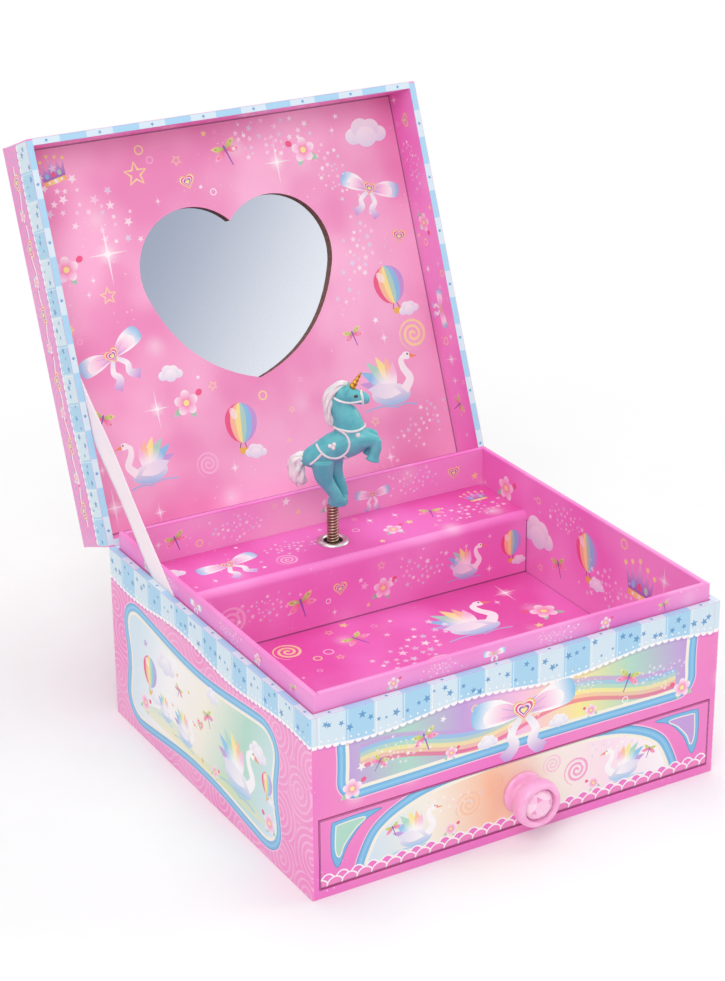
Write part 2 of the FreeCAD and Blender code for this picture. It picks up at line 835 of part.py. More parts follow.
def wire_section(middle, along, radius):
    """Section of the wire, with few flats so that the coil stays light."""
    flats = int(size("spring_flats"))
    up = along.cross(Z_AXIS.cross(along)).normalize()
    out = along.cross(up)
    turns = [2 * math.pi * flat / flats for flat in range(flats)]
    corners = [middle + out * (radius * math.cos(turn)) + up * (radius * math.sin(turn)) for turn in turns]
    return Part.makePolygon([*corners, corners[0]])


def make_figure():
    """Coil spring and the moulded rearing unicorn with its peg."""
    wire_diameter = size("spring_wire")
    halves = int(size("spring_turns") * 2)
    stations = [coil_points(half / 2) for half in range(halves + 1)]
    first_point, first_direction = stations[0]
    last_point, last_direction = stations[-1]
    foot = first_point - first_direction * wire_diameter
    head = last_point + last_direction * wire_diameter
    edges = [Part.LineSegment(foot, first_point).toShape()]
    for (start, leaving), (end, reaching) in zip(stations, stations[1:]):
        edges += biarc(start, leaving, end, reaching)
    edges.append(Part.LineSegment(last_point, head).toShape())
    path = Part.Wire(edges)
    ring = wire_section(foot, first_direction, wire_diameter / 2)
    spring = doc.addObject("Part::Feature", "spring_coil")
    spring.Shape = path.makePipeShell([ring], True, False)
    place(spring, y="figure_y", z="spring_low")
    sub_part(spring, "figure_spring")
    print(f"spring: least gap between turns {coil_gap(path, wire_diameter):.3f} mm")

    limbs = [limb(name, *form) for name, form in FIGURE_LIMBS.items()]
    hoof_base = size("spring_low + spring_pitch * spring_turns - step_top")
    peg = rod("figure_peg", "peg_radius", "0", "0", f"{hoof_base} - peg_long", "peg_long + 2")
    moulding = fused("unicorn_moulding", [*limbs, peg])
    place(moulding, "0", "figure_y", "step_top", Z_AXIS, "figure_yaw")
    sub_part(moulding, "unicorn_figure")


def limb(name, offset, breadth, stations):
    """Flat-faceted limb through ovals that all stand square to the line from its first to its last station.

    The ovals are parallel and alike, so every facet is a plane, where a loft would make it a spline.
    """
    centres = [Vector(forward, offset, up) for forward, up, _ in stations]
    deep = Y_AXIS.cross(centres[-1] - centres[0]).normalize()
    turns = [2 * math.pi * (corner + 0.5) / OVAL_CORNERS for corner in range(OVAL_CORNERS)]
    corners = [deep * math.cos(turn) + Y_AXIS * (breadth * math.sin(turn)) for turn in turns]
    rings = [
        [centre + corner * depth for corner in corners]
        for centre, (_, _, depth) in zip(centres, stations)
    ]
    facets = [rings[0], rings[-1]]
    for low, high in zip(rings, rings[1:]):
        for corner in range(OVAL_CORNERS):
            facets.append([low[corner - 1], low[corner], high[corner], high[corner - 1]])
    faces = [Part.Face(Part.makePolygon(facet + facet[:1])) for facet in facets]
    item = doc.addObject("Part::Feature", f"{name}_limb")
    item.Shape = Part.Solid(Part.Shell(faces))
    return item


def make_bedplate():
    """Cast bedplate on the back wall, with the comb boss, the spindle's lugs and the governor housing."""
    half = "bedplate_half_width"
    wall_face = "case_depth / 2 - wall"
    plate_face = f"{wall_face} - bedplate_thick"
    comb_back = "figure_y + comb_thick / 2"
    lug_y = ("figure_y - lug_half_depth", "figure_y + lug_half_depth")
    lower_lug_y = ("figure_y - lower_lug_front", "figure_y + lower_lug_back")
    lug_end = "boss_inner + lug_overlap"
    solids = [
        box("plate", (f"-{half}", half), (plate_face, wall_face), ("bedplate_low", "bedplate_high")),
        box("comb_boss", ("boss_inner", half), (comb_back, plate_face), ("lug_low", "bedplate_high")),
        box("lower_lug", ("lug_start", lug_end), lower_lug_y, ("lug_low", "lug_high")),
        box("upper_lug", ("housing_inner", lug_end), lug_y, ("top_lug_low", "top_lug_high")),
        box("governor_housing", (f"-{half}", "housing_inner"), (lug_y[0], plate_face),
            ("housing_low", "bedplate_high")),
    ]
    holes = [
        rod("lower_bearing", "pivot_radius + bearing_play", "0", "figure_y", "lug_low", "lug_high - lug_low"),
        rod("upper_bearing", "spindle_radius + bearing_play", "0", "figure_y", "top_lug_low",
            "top_lug_high - top_lug_low"),
        rod_to_back("arbor_bearing", "arbor_radius + bearing_play", "0", plate_face, "barrel_height",
                    "bedplate_thick"),
    ]
    for number, (x, z) in enumerate(MOVEMENT_SCREWS):
        way = "screw_radius + close_fit"
        holes.append(rod_to_back(f"plate_way_{number}", way, x, plate_face, z, "bedplate_thick"))
    sub_part(cut("bedplate_cut", fused("bedplate_cast", solids), holes), "movement_bedplate")


def make_comb():
    """Steel comb whose teeth stand radially to the cylinder, longer towards the bass end."""
    comb = new_body("comb_body")
    low = "comb_first - comb_pitch / 2"
    high = "comb_first + (comb_tracks - 0.5) * comb_pitch"
    heel = sketch_on(comb, "XZ_Plane", "comb_heel_outline", "-figure_y")
    slant = [("comb_heel_bass", high), ("comb_heel_treble", low)]
    outline(heel, [*slant, ("comb_heel", low), ("comb_heel", high)])
    pad(comb, heel, "comb_thick", both_ways=True)
    tooth = sketch_on(comb, "XZ_Plane", "comb_tooth", "-figure_y")
    near = f"{low} + comb_slot"
    far = f"{low} + comb_pitch - comb_slot"
    outline(tooth, [("comb_tip", near), ("comb_root", near), ("comb_root", far), ("comb_tip", far)])
    blade = pad(comb, tooth, "comb_thick", both_ways=True)
    row_of_teeth = comb.newObject("PartDesign::LinearPattern", "comb_teeth")
    row_of_teeth.Originals = [blade]
    row_of_teeth.Direction = (origin_of(comb, "Z_Axis"), [""])
    bind(row_of_teeth, "Length", "comb_pitch * (comb_tracks - 1)")
    bind(row_of_teeth, "Occurrences", "comb_tracks")
    comb.Tip = row_of_teeth
    sub_part(comb, "tone_comb")


def make_movement_screws():
    """Screws through the back wall into the bedplate."""
    screws = []
    for number, (x, z) in enumerate(MOVEMENT_SCREWS):
        screw = turned(
            f"movement_screw_{number}",
            [
                ("0", "-screw_long"),
                ("screw_radius", "-screw_long"),
                ("screw_radius", "0"),
                ("screw_head_radius", "0"),
                ("screw_head_radius", "screw_head_tall"),
                ("0", "screw_head_tall"),
            ],
        )
        screws.append(place(screw, x, "case_depth / 2", z, X_AXIS, "-90"))
    group = doc.addObject("Part::Compound", "movement_screw_group")
    group.Links = screws
    sub_part(group, "movement_screws")


def ring_section(inner, outer, low, high):
    """Half section of a plain ring."""
    return [(inner, low), (outer, low), (outer, high), (inner, high)]


def geared_ring(name, bore, teeth, module, low, wide):
    """Toothed ring on the spindle."""
    body = turned(f"{name}_body", ring_section(bore, root_radius(teeth, module), low, f"{low} + {wide}"))
    spur_teeth(body, f"{name}_tooth", teeth, module, low, wide)
    return place(body, y="figure_y")


def make_spindle():
    """Spindle with the pinned cylinder and the drive pinion."""
    shoulder_top = "spring_low - spring_wire"
    shoulder_low = "lug_high + spindle_lift"
    spindle = turned(
        "spindle_body",
        [
            ("0", "lug_low"),
            ("pivot_radius", "lug_low"),
            ("pivot_radius", shoulder_low),
            ("spindle_radius", shoulder_low),
            ("spindle_radius", shoulder_top),
            ("peg_radius", shoulder_top),
            ("peg_radius", "spring_low + peg_long"),
            ("0", "spring_low + peg_long"),
        ],
    )
    sub_part(place(spindle, y="figure_y"), "spindle")

    bore = "spindle_radius + press_play"
    pinion = geared_ring("drive_pinion", bore, "drive_teeth", "drive_module", "drive_low", "drive_wide")
    sub_part(pinion, "cylinder_pinion")

    drum = turned("drum_body", ring_section(bore, "cylinder_radius", "cylinder_low", "cylinder_high"))
    pins = []
    for track in range(int(size("comb_tracks"))):
        pin = doc.addObject("Part::Prism", f"pin_{track}")
        pin.Polygon = 4
        bind(pin, "Circumradius", "pin_radius")
        bind(pin, "Height", "pin_tall + 1")
        round_drum = FreeCAD.Rotation(Z_AXIS, track * GOLDEN_ANGLE)
        foot = round_drum.multVec(X_AXIS) * size("cylinder_radius - 1")
        foot.z = size(f"comb_first + {track} * comb_pitch")
        pin.Placement = FreeCAD.Placement(foot, round_drum.multiply(FreeCAD.Rotation(Y_AXIS, 90)))
        pins.append(pin)
    pinned = fused("pinned_drum", [drum, *pins])
    sub_part(place(pinned, y="figure_y"), "music_cylinder")


def make_barrel():
    """Closed mainspring barrel with crown teeth on its front face."""
    bore = "arbor_radius + bearing_play"
    barrel = turned("barrel_body", ring_section(bore, "barrel_radius", "0", "barrel_depth"))
    tooth = sketch_on(barrel, "YZ_Plane", "crown_tooth", "crown_inner")
    foot = "barrel_depth - crown_sunk"
    tip = "barrel_depth + crown_tall"
    flank = [("crown_foot_half", foot), ("crown_tip_half", tip)]
    outline(tooth, [("-crown_foot_half", foot), *flank, ("-crown_tip_half", tip)])
    round_pattern(barrel, pad(barrel, tooth, "crown_outer - crown_inner"), "crown_teeth")
    sub_part(place(barrel, "0", "barrel_back", "barrel_height", X_AXIS, "90"), "spring_barrel")


def make_winding():
    """Winding arbor through the barrel and the back wall, and the winged key on it."""
    arbor_long = "arbor_reach - arbor_low"
    arbor = rod_to_back("arbor_rod", "arbor_radius", "0", "arbor_low", "barrel_height", arbor_long)
    sub_part(arbor, "winding_arbor")

    key = new_body("key_body")
    wings = sketch_on(key, "XY_Plane", "key_wings")
    middle = "(key_wing_low + key_wing_high) / 2"
    round_x = "key_half_span - (key_wing_high - key_wing_low) / 2"
    outline(
        wings,
        [
            (f"-({round_x})", "key_wing_low"),
            (round_x, "key_wing_low"),
            (round_x, "key_wing_high"),
            (f"-({round_x})", "key_wing_high"),
        ],
        {1: ("key_half_span", middle), 3: ("-key_half_span", middle)},
    )
    pad(key, wings, "key_thick", both_ways=True)
    boss = sketch_on(key, "XZ_Plane", "key_boss", "-key_low")
    circle(boss, "0", "0", "key_boss_radius")
    boss_pad = pad(key, boss, "arbor_reach - key_low")
    boss_pad.Reversed = True
    eyes = sketch_on(key, "XY_Plane", "key_eyes")
    for side in ("", "-"):
        circle(eyes, f"{side}({round_x})", middle, "key_hole_radius")
    pocket(key, eyes, "2 * key_thick", both_ways=True)
    way = sketch_on(key, "XZ_Plane", "key_bore", "-key_low")
    circle(way, "0", "0", "arbor_radius + key_play")
    pocket(key, way, "arbor_reach - key_low")
    sub_part(place(key, z="barrel_height"), "winding_key")


def write_parts():
    """Checks every object and writes each sub-part to its own file."""
    doc.recompute()
    for item in doc.Objects:
        if "Invalid" in item.State or "Error" in item.State:
            raise RuntimeError(f"{item.Label} failed: {item.State}")
    os.makedirs("parts", exist_ok=True)
    for item in sub_parts:
        shape = item.Shape
        if shape.isNull() or not shape.isValid() or not shape.Solids:
            raise RuntimeError(f"{item.Label} has no valid solid")
        shape.exportStep(f"parts/{item.Label}.step")
        print(f"{item.Label}: {len(shape.Solids)} solid(s), {shape.Volume:.1f} mm3")
    print(f"{len(sub_parts)} sub-parts")


make_case()
make_tray()
make_lid()
make_hinge_and_ribbon()
make_drawer()
make_figure()
make_bedplate()
make_comb()
make_movement_screws()
make_spindle()
make_barrel()
make_winding()
write_parts()
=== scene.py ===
import logging
import random
from collections.abc import Callable, Sequence
from dataclasses import dataclass, field
from enum import Enum
from math import acos, copysign, cos, degrees, dist, hypot, inf, pi, radians, sin

import bpy
import numpy as np
from bpy.types import Material, Node, NodeSocket, NodeTree, Object
from mathutils import Matrix, Vector
from mathutils.bvhtree import BVHTree
from mathutils.geometry import delaunay_2d_cdt


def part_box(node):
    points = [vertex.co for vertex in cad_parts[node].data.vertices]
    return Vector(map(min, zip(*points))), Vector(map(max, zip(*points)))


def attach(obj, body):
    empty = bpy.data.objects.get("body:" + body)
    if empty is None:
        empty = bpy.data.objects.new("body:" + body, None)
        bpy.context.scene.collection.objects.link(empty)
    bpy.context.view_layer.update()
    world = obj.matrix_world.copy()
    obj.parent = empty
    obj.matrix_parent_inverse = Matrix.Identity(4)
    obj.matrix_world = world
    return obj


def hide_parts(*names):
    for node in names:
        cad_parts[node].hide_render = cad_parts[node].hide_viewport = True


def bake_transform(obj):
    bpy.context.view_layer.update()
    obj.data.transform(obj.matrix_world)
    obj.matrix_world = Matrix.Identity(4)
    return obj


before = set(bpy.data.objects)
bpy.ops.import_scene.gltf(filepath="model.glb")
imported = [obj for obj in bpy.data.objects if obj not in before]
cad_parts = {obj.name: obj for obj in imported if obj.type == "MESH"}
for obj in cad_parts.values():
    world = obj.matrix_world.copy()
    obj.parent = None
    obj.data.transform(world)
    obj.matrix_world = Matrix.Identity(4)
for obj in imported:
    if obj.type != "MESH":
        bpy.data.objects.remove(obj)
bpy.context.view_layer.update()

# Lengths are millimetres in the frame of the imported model, and MM turns them into metres.
MM = 0.001
BOX_WIDTH = 160.0
BOX_DEPTH = 147.0
BOARD = 2.5
RIM = 66.0
HINGE = (BOX_DEPTH / 2, RIM)
LID_ANGLE = 111.5
SPRING_PLACE = (0.0, 53.0)
STEP_TOP = 57.7

# A print lies a little above its board, and stops a little short of the board's edge.
PRINT_LIFT = 0.02
HEM = 0.05
EDGE_HEM = 0.1

# Ways along the axes of the model.
ACROSS = (1, 0, 0)
BACK = (0, 1, 0)
UP = (0, 0, 1)

UV_LAYER = "OFBake"
INK_LAYER = "ink"
FULL_TURN = 2 * pi

Point = tuple[float, float]
Colour = tuple[float, float, float]
Rgb = tuple[int, int, int]
Rgba = tuple[float, float, float, float]
Shade = Callable[[float, float], Rgba]
Triple = tuple[float, float, float]
Limb = tuple[float, float, list[Triple]]

log = logging.getLogger("jewellery_box")


def linear(rgb: Rgb) -> Colour:
    """Turns an sRGB colour from 0 to 255 into the linear one that shaders take."""
    parts = [part / 255 for part in rgb]
    return tuple(p / 12.92 if p <= 0.04045 else ((p + 0.055) / 1.055) ** 2.4 for p in parts)


class Ink(Enum):
    """Printing inks and paints, as sRGB values from 0 to 255."""

    PINK = (242, 134, 198)
    SOFT_PINK = (246, 158, 208)
    LINING = (236, 142, 191)
    LINING_PALE = (249, 184, 217)
    TRAY = (240, 120, 201)
    TRAY_PALE = (246, 152, 216)
    HOT_PINK = (228, 84, 172)
    DEEP_PINK = (218, 58, 152)
    PALE_PINK = (250, 196, 226)
    BLUSH = (252, 226, 238)
    ROSE = (236, 92, 136)
    WHITE = (252, 250, 250)
    PEARL = (222, 222, 240)
    SKY = (136, 200, 236)
    POWDER = (166, 214, 240)
    AZURE = (112, 186, 228)
    BLUE = (66, 146, 200)
    ICE = (212, 233, 243)
    LILAC = (196, 160, 220)
    VIOLET = (146, 92, 180)
    MINT = (172, 220, 200)
    LEAF = (134, 182, 84)
    LEMON = (250, 236, 150)
    GOLD = (238, 190, 90)
    PEACH = (250, 196, 160)
    CREAM = (247, 242, 226)
    ORANGE = (240, 150, 90)
    BROWN = (96, 58, 44)
    UMBER = (122, 84, 66)
    INK_DARK = (52, 36, 48)

    @property
    def linear(self) -> Colour:
        """The ink as shaders take it."""
        return linear(self.value)


RAINBOW = (Ink.ROSE, Ink.PEACH, Ink.LEMON, Ink.MINT, Ink.SKY, Ink.LILAC)


def flat(ink: Ink, cover: float = 1.0) -> Shade:
    """One ink all over, covering that share of what lies below."""
    rgba = (*ink.linear, cover)
    return lambda u, v: rgba


def glow(u0: float, v0: float, radius: float, ink: Ink, cover: float) -> Shade:
    """An ink that fades out with the distance from a point.

    Args:
        u0: place of its middle across.
        v0: place of its middle upwards.
        radius: where it has faded out.
        ink: its ink.
        cover: its cover in the middle.

    Returns:
        The shade.
    """
    def shade(u: float, v: float) -> Rgba:
        """The ink and its cover at a place."""
        left = max(0.0, 1 - hypot(u - u0, v - v0) / radius)
        return (*ink.linear, cover * left ** 1.6)
    return shade


def ramp(start: Point, end: Point, inks: Sequence[Ink], cover: float = 1.0) -> Shade:
    """Inks that run into each other from one point to another.

    Args:
        start: where the first ink stands alone.
        end: where the last one does.
        inks: the inks in order.
        cover: their share over what lies below.

    Returns:
        The shade.
    """
    along = Vector(end) - Vector(start)

    def shade(u: float, v: float) -> Rgba:
        """The mixed inks at a place.

        Args:
            u: place across.
            v: place upwards.

        Returns:
            The colour and its cover.
        """
        share = (Vector((u, v)) - Vector(start)).dot(along) / along.length_squared
        place = min(max(share, 0.0), 0.9999) * (len(inks) - 1)
        low = int(place)
        first, second = Vector(inks[low].linear), Vector(inks[low + 1].linear)
        return (*first.lerp(second, place - low), cover)
    return shade


class Facing(Enum):
    """How a flat pattern is turned so that it lies on a board, as a rotation in degrees."""

    TOP = (0, 0, 0)
    SIDE = (-90, -90, 0)
    LID = (-68.5, 0, 0)
    LID_END = (21.5, 0, 0)


class Nodes:
    """Lays out and links the nodes of one material."""

    def __init__(self, name: str) -> None:
        """Starts a material with its one main shader.

        Args:
            name: the material's name.
        """
        self.material = bpy.data.materials.new(name)
        self.material.use_nodes = True
        self.tree = self.material.node_tree
        self.shader = self.tree.nodes["Principled BSDF"]
        self.place = self.add("ShaderNodeTexCoord").outputs["Object"]

    def add(self, kind: str, **settings: object) -> Node:
        """Adds a node with some of its settings.

        Args:
            kind: the node's type.
            settings: its properties by name.

        Returns:
            The node.
        """
        node = self.tree.nodes.new(kind)
        for name, value in settings.items():
            setattr(node, name, value)
        return node

    def put(self, socket: NodeSocket, value: object) -> None:
        """Links a socket to another, or sets its number or colour.

        Args:
            socket: the input.
            value: an output to link, or a plain value.
        """
        if isinstance(value, NodeSocket):
            self.tree.links.new(value, socket)
        else:
            socket.default_value = value

    def fill(self, node: Node, **values: object) -> Node:
        """Links or sets inputs of a node.

        Args:
            node: the node.
            values: what goes into each input, named with _ for a space.

        Returns:
            The same node.
        """
        for name, value in values.items():
            self.put(node.inputs[name.replace("_", " ")], value)
        return node

    def set(self, **values: object) -> None:
        """Links or sets inputs of the main shader."""
        self.fill(self.shader, **values)

    def calc(self, operation: str, *values: object) -> NodeSocket:
        """A sum or other calculation on numbers.

        Args:
            operation: what is done.
            values: numbers or outputs in the node's order.

        Returns:
            The result.
        """
        node = self.add("ShaderNodeMath", operation=operation)
        for socket, value in zip(node.inputs, values):
            self.put(socket, value)
        return node.outputs[0]

    def mix(self, share: object, low: object, high: object) -> NodeSocket:
        """Colour between two others.

        Args:
            share: how much there is of the second colour.
            low: the first colour.
            high: the second colour.

        Returns:
            The colour.
        """
        node = self.add("ShaderNodeMix", data_type="RGBA")
        for index, value in ((0, share), (6, low), (7, high)):
            opaque = value if isinstance(value, (float, NodeSocket)) else (*value, 1.0)
            self.put(node.inputs[index], opaque)
        return node.outputs[2]

    def step(self, value: object, low: float, high: float) -> NodeSocket:
        """Smooth step from 0 at low to 1 at high, or down where low is the larger.

        Args:
            value: what is measured.
            low: where 0 ends.
            high: where 1 begins.

        Returns:
            The share.
        """
        node = self.add("ShaderNodeMapRange", interpolation_type="SMOOTHSTEP")
        for index, number in enumerate((value, min(low, high), max(low, high))):
            self.put(node.inputs[index], number)
        ends = (0.0, 1.0) if low < high else (1.0, 0.0)
        node.inputs[3].default_value, node.inputs[4].default_value = ends
        return node.outputs[0]

    def noise(self, size: float, detail: float = 2.0, where: object = None) -> NodeSocket:
        """Noise whose features are about this many millimetres across.

        Args:
            size: width of a feature.
            detail: how many finer layers it has.
            where: the place that it is read at.

        Returns:
            The noise, about a half on the whole.
        """
        node = self.add("ShaderNodeTexNoise")
        self.fill(node, Vector=where or self.place, Scale=1 / (size * MM), Detail=detail)
        return node.outputs["Fac"]

    def cells(self, size: float, where: object = None, flat_cells: bool = False,
              scatter: float = 1.0) -> Node:
        """Cells about this many millimetres across.

        Args:
            size: width of a cell.
            where: the place that they are read at.
            flat_cells: whether they lie in a plane.
            scatter: how uneven they are.

        Returns:
            The node.
        """
        node = self.add("ShaderNodeTexVoronoi", voronoi_dimensions="2D" if flat_cells else "3D")
        return self.fill(node, Vector=where or self.place, Scale=1 / (size * MM),
                         Randomness=scatter)

    def turned(self, facing: Facing, stretch: Sequence[float] = (1, 1, 1)) -> NodeSocket:
        """The place on the object, turned so that a flat pattern lies on a board.

        Args:
            facing: how the board lies.
            stretch: scale along each axis.

        Returns:
            The turned place.
        """
        node = self.add("ShaderNodeMapping")
        turn = [radians(angle) for angle in facing.value]
        self.fill(node, Vector=self.place, Rotation=turn, Scale=stretch)
        return node.outputs[0]

    def inked(self, colour: object) -> NodeSocket:
        """A colour with the piece's own inks over it."""
        ink = self.add("ShaderNodeVertexColor", layer_name=INK_LAYER)
        return self.mix(ink.outputs["Alpha"], colour, ink.outputs["Color"])

    def bump(self, height: object, depth: float, strength: float,
             under: object = None) -> NodeSocket:
        """Normal of a surface raised by so many millimetres, over another bump where one is given.

        Args:
            height: the raised pattern.
            depth: its height in millimetres.
            strength: how much of it shows.
            under: another bump below it.

        Returns:
            The normal.
        """
        node = self.add("ShaderNodeBump")
        self.fill(node, Height=height, Distance=depth * MM, Strength=strength)
        if under is not None:
            self.fill(node, Normal=under)
        return node.outputs[0]


@dataclass(frozen=True)
class PrintedPaper:
    """Laminated paper: a cloudy ground, soft glints, fine dust, and swirls if asked for."""

    name: str
    ground: Ink
    cloud: Ink
    swirl: Ink | None = None
    facing: Facing = Facing.TOP
    cloud_size: float = 42.0
    glint_spacing: float = 24.0
    swirl_size: float = 15.0
    swirl_pitch: float = 2.5
    swirl_share: float = 0.6
    grain_size: float = 2.6
    drift_size: float = 28.0
    mottle_size: float = 0.7
    warp_size: float = 30.0
    tooth_size: float = 0.35
    roughness: float = 0.28
    coat: float = 0.12
    made: dict[bool, Material] = field(default_factory=dict, compare=False)

    def swirl_lines(self, nodes: Nodes) -> NodeSocket:
        """Share of the swirl ink: a spiral line round the middle of each cell.

        Args:
            nodes: the paper's nodes.

        Returns:
            The share.
        """
        where = nodes.turned(self.facing)
        cells = nodes.cells(self.swirl_size, where, flat_cells=True, scatter=0.8)
        away = nodes.add("ShaderNodeVectorMath", operation="SUBTRACT")
        nodes.put(away.inputs[0], where)
        nodes.put(away.inputs[1], cells.outputs["Position"])
        parts = nodes.add("ShaderNodeSeparateXYZ")
        nodes.put(parts.inputs[0], away.outputs[0])
        across, up = parts.outputs[0], parts.outputs[1]
        turn = nodes.calc("DIVIDE", nodes.calc("ARCTAN2", up, across), FULL_TURN)
        square = nodes.calc("ADD", nodes.calc("MULTIPLY", across, across),
                            nodes.calc("MULTIPLY", up, up))
        radius = nodes.calc("DIVIDE", nodes.calc("SQRT", square), self.swirl_pitch * MM)
        ring = nodes.calc("FRACT", nodes.calc("ADD", radius, turn))
        return nodes.step(nodes.calc("ABSOLUTE", nodes.calc("SUBTRACT", ring, 0.5)), 0.2, 0.12)

    def build(self, printed: bool) -> Material:
        """Makes the material, or gives the one made before.

        Args:
            printed: True for a sheet that carries its own inks in a colour layer.

        Returns:
            The material.
        """
        if printed in self.made:
            return self.made[printed]
        nodes = Nodes(f"{self.name}_{'print' if printed else 'ground'}")
        clouds = nodes.step(nodes.noise(self.cloud_size), 0.34, 0.66)
        colour = nodes.mix(clouds, self.ground.linear, self.cloud.linear)
        if self.swirl:
            lines = nodes.calc("MULTIPLY", self.swirl_lines(nodes), self.swirl_share)
            colour = nodes.mix(lines, colour, self.swirl.linear)
        cells = nodes.cells(self.glint_spacing)
        spot = nodes.step(cells.outputs["Distance"], 0.3, 0.0)
        glint = nodes.calc("MULTIPLY", nodes.calc("POWER", spot, 2.0), cells.outputs["Color"])
        colour = nodes.mix(nodes.calc("MULTIPLY", glint, 0.55), colour, Ink.WHITE.linear)
        grains = nodes.step(nodes.cells(self.grain_size).outputs["Distance"], 0.14, 0.07)
        drift = nodes.step(nodes.noise(self.drift_size), 0.54, 0.66)
        dust = nodes.calc("MULTIPLY", nodes.calc("MULTIPLY", grains, drift), 0.7)
        colour = nodes.mix(dust, colour, Ink.WHITE.linear)
        if printed:
            colour = nodes.inked(colour)
        mottle = nodes.noise(self.mottle_size, 3.0)
        colour = nodes.mix(nodes.calc("MULTIPLY", mottle, 0.07), colour, Ink.DEEP_PINK.linear)
        warp = nodes.bump(nodes.noise(self.warp_size, 1.0), 0.12, 0.25)
        nodes.set(
            Base_Color=colour,
            Roughness=nodes.calc("MULTIPLY_ADD", mottle, 0.16, self.roughness),
            Normal=nodes.bump(nodes.noise(self.tooth_size, 3.0), 0.012, 0.2, warp),
            Coat_Weight=self.coat,
            Coat_Roughness=0.18,
        )
        self.made[printed] = nodes.material
        return nodes.material


@dataclass(frozen=True)
class Greyboard:
    """Bare board with fibres, or a plain paper-lined one."""

    name: str
    tone: Ink
    fleck: Ink
    fibre_size: float = 1.2
    roughness: float = 0.65

    def build(self) -> Material:
        """Makes the material.

        Returns:
            The material.
        """
        nodes = Nodes(self.name)
        fibres = nodes.noise(self.fibre_size, 6.0)
        nodes.set(
            Base_Color=nodes.mix(nodes.step(fibres, 0.35, 0.7), self.tone.linear,
                                 self.fleck.linear),
            Roughness=nodes.calc("MULTIPLY_ADD", fibres, 0.2, self.roughness),
            Normal=nodes.bump(fibres, 0.05, 0.4),
        )
        return nodes.material


@dataclass(frozen=True)
class Metal:
    """Plated, turned or drawn metal with fine scratches along one axis."""

    name: str
    tone: Rgb
    dull: Rgb
    roughness: float
    stretch: Triple = (1.0, 1.0, 0.1)
    scratch_size: float = 0.25
    stain_size: float = 3.0

    def build(self) -> Material:
        """Makes the material.

        Returns:
            The material.
        """
        nodes = Nodes(self.name)
        scratches = nodes.noise(self.scratch_size, 4.0, nodes.turned(Facing.TOP, self.stretch))
        stain = nodes.step(nodes.noise(self.stain_size, 3.0), 0.4, 0.75)
        nodes.set(
            Base_Color=nodes.mix(nodes.calc("MULTIPLY", stain, 0.6), linear(self.tone),
                                 linear(self.dull)),
            Metallic=1.0,
            Roughness=nodes.calc("MULTIPLY_ADD", scratches, 0.18, self.roughness),
            Normal=nodes.bump(scratches, 0.01, 0.15),
        )
        return nodes.material


@dataclass(frozen=True)
class Plastic:
    """Moulded or painted plastic with slight waves, specks and a soft gloss."""

    name: str
    tone: Rgb
    shade: Rgb
    roughness: float
    coat: float = 0.25
    glow: float = 0.0
    inked: bool = False
    wave_size: float = 4.0
    grain_size: float = 0.3

    def build(self) -> Material:
        """Makes the material.

        Returns:
            The material.
        """
        nodes = Nodes(self.name)
        waves = nodes.noise(self.wave_size, 2.0)
        colour = nodes.mix(nodes.step(waves, 0.3, 0.7), linear(self.tone), linear(self.shade))
        if self.inked:
            colour = nodes.inked(colour)
        grain = nodes.noise(self.grain_size, 2.0)
        nodes.set(
            Base_Color=colour,
            Roughness=nodes.calc("MULTIPLY_ADD", grain, 0.12, self.roughness),
            Normal=nodes.bump(waves, 0.03, 0.2),
            Coat_Weight=self.coat,
            Coat_Roughness=0.15,
            Subsurface_Weight=self.glow,
            Subsurface_Radius=(0.002, 0.001, 0.001),
        )
        return nodes.material


@dataclass(frozen=True)
class Silvering:
    """Silvered sheet, finely speckled, with a painted reflection: grey towards one corner.

    The painted grey grows with the height less slope times the place across, between the two ends
    of reflection_span in metres.
    """

    name: str
    clear: Rgb = (244, 247, 255)
    grey: Rgb = (164, 173, 194)
    speck: Rgb = (120, 128, 140)
    slope: float = 1.15
    reflection_span: tuple[float, float] = (0.059, 0.208)
    speck_size: float = 0.4
    wave_size: float = 12.0
    roughness: float = 0.04

    def build(self) -> Material:
        """Makes the material.

        Returns:
            The material.
        """
        nodes = Nodes(self.name)
        parts = nodes.add("ShaderNodeSeparateXYZ")
        nodes.put(parts.inputs[0], nodes.place)
        # Painted reflection: the silver turns grey towards one corner of the mirror.
        height = nodes.calc("MULTIPLY_ADD", parts.outputs[0], -self.slope, parts.outputs[2])
        tone = nodes.mix(nodes.step(height, *self.reflection_span), linear(self.clear), linear(self.grey))
        specks = nodes.noise(self.speck_size, 2.0)
        nodes.set(
            Base_Color=nodes.mix(nodes.calc("MULTIPLY", specks, 0.16), tone, linear(self.speck)),
            Metallic=1.0,
            Roughness=nodes.calc("MULTIPLY_ADD", specks, 0.05, self.roughness),
            Normal=nodes.bump(nodes.noise(self.wave_size, 1.0), 0.01, 0.1),
        )
        return nodes.material


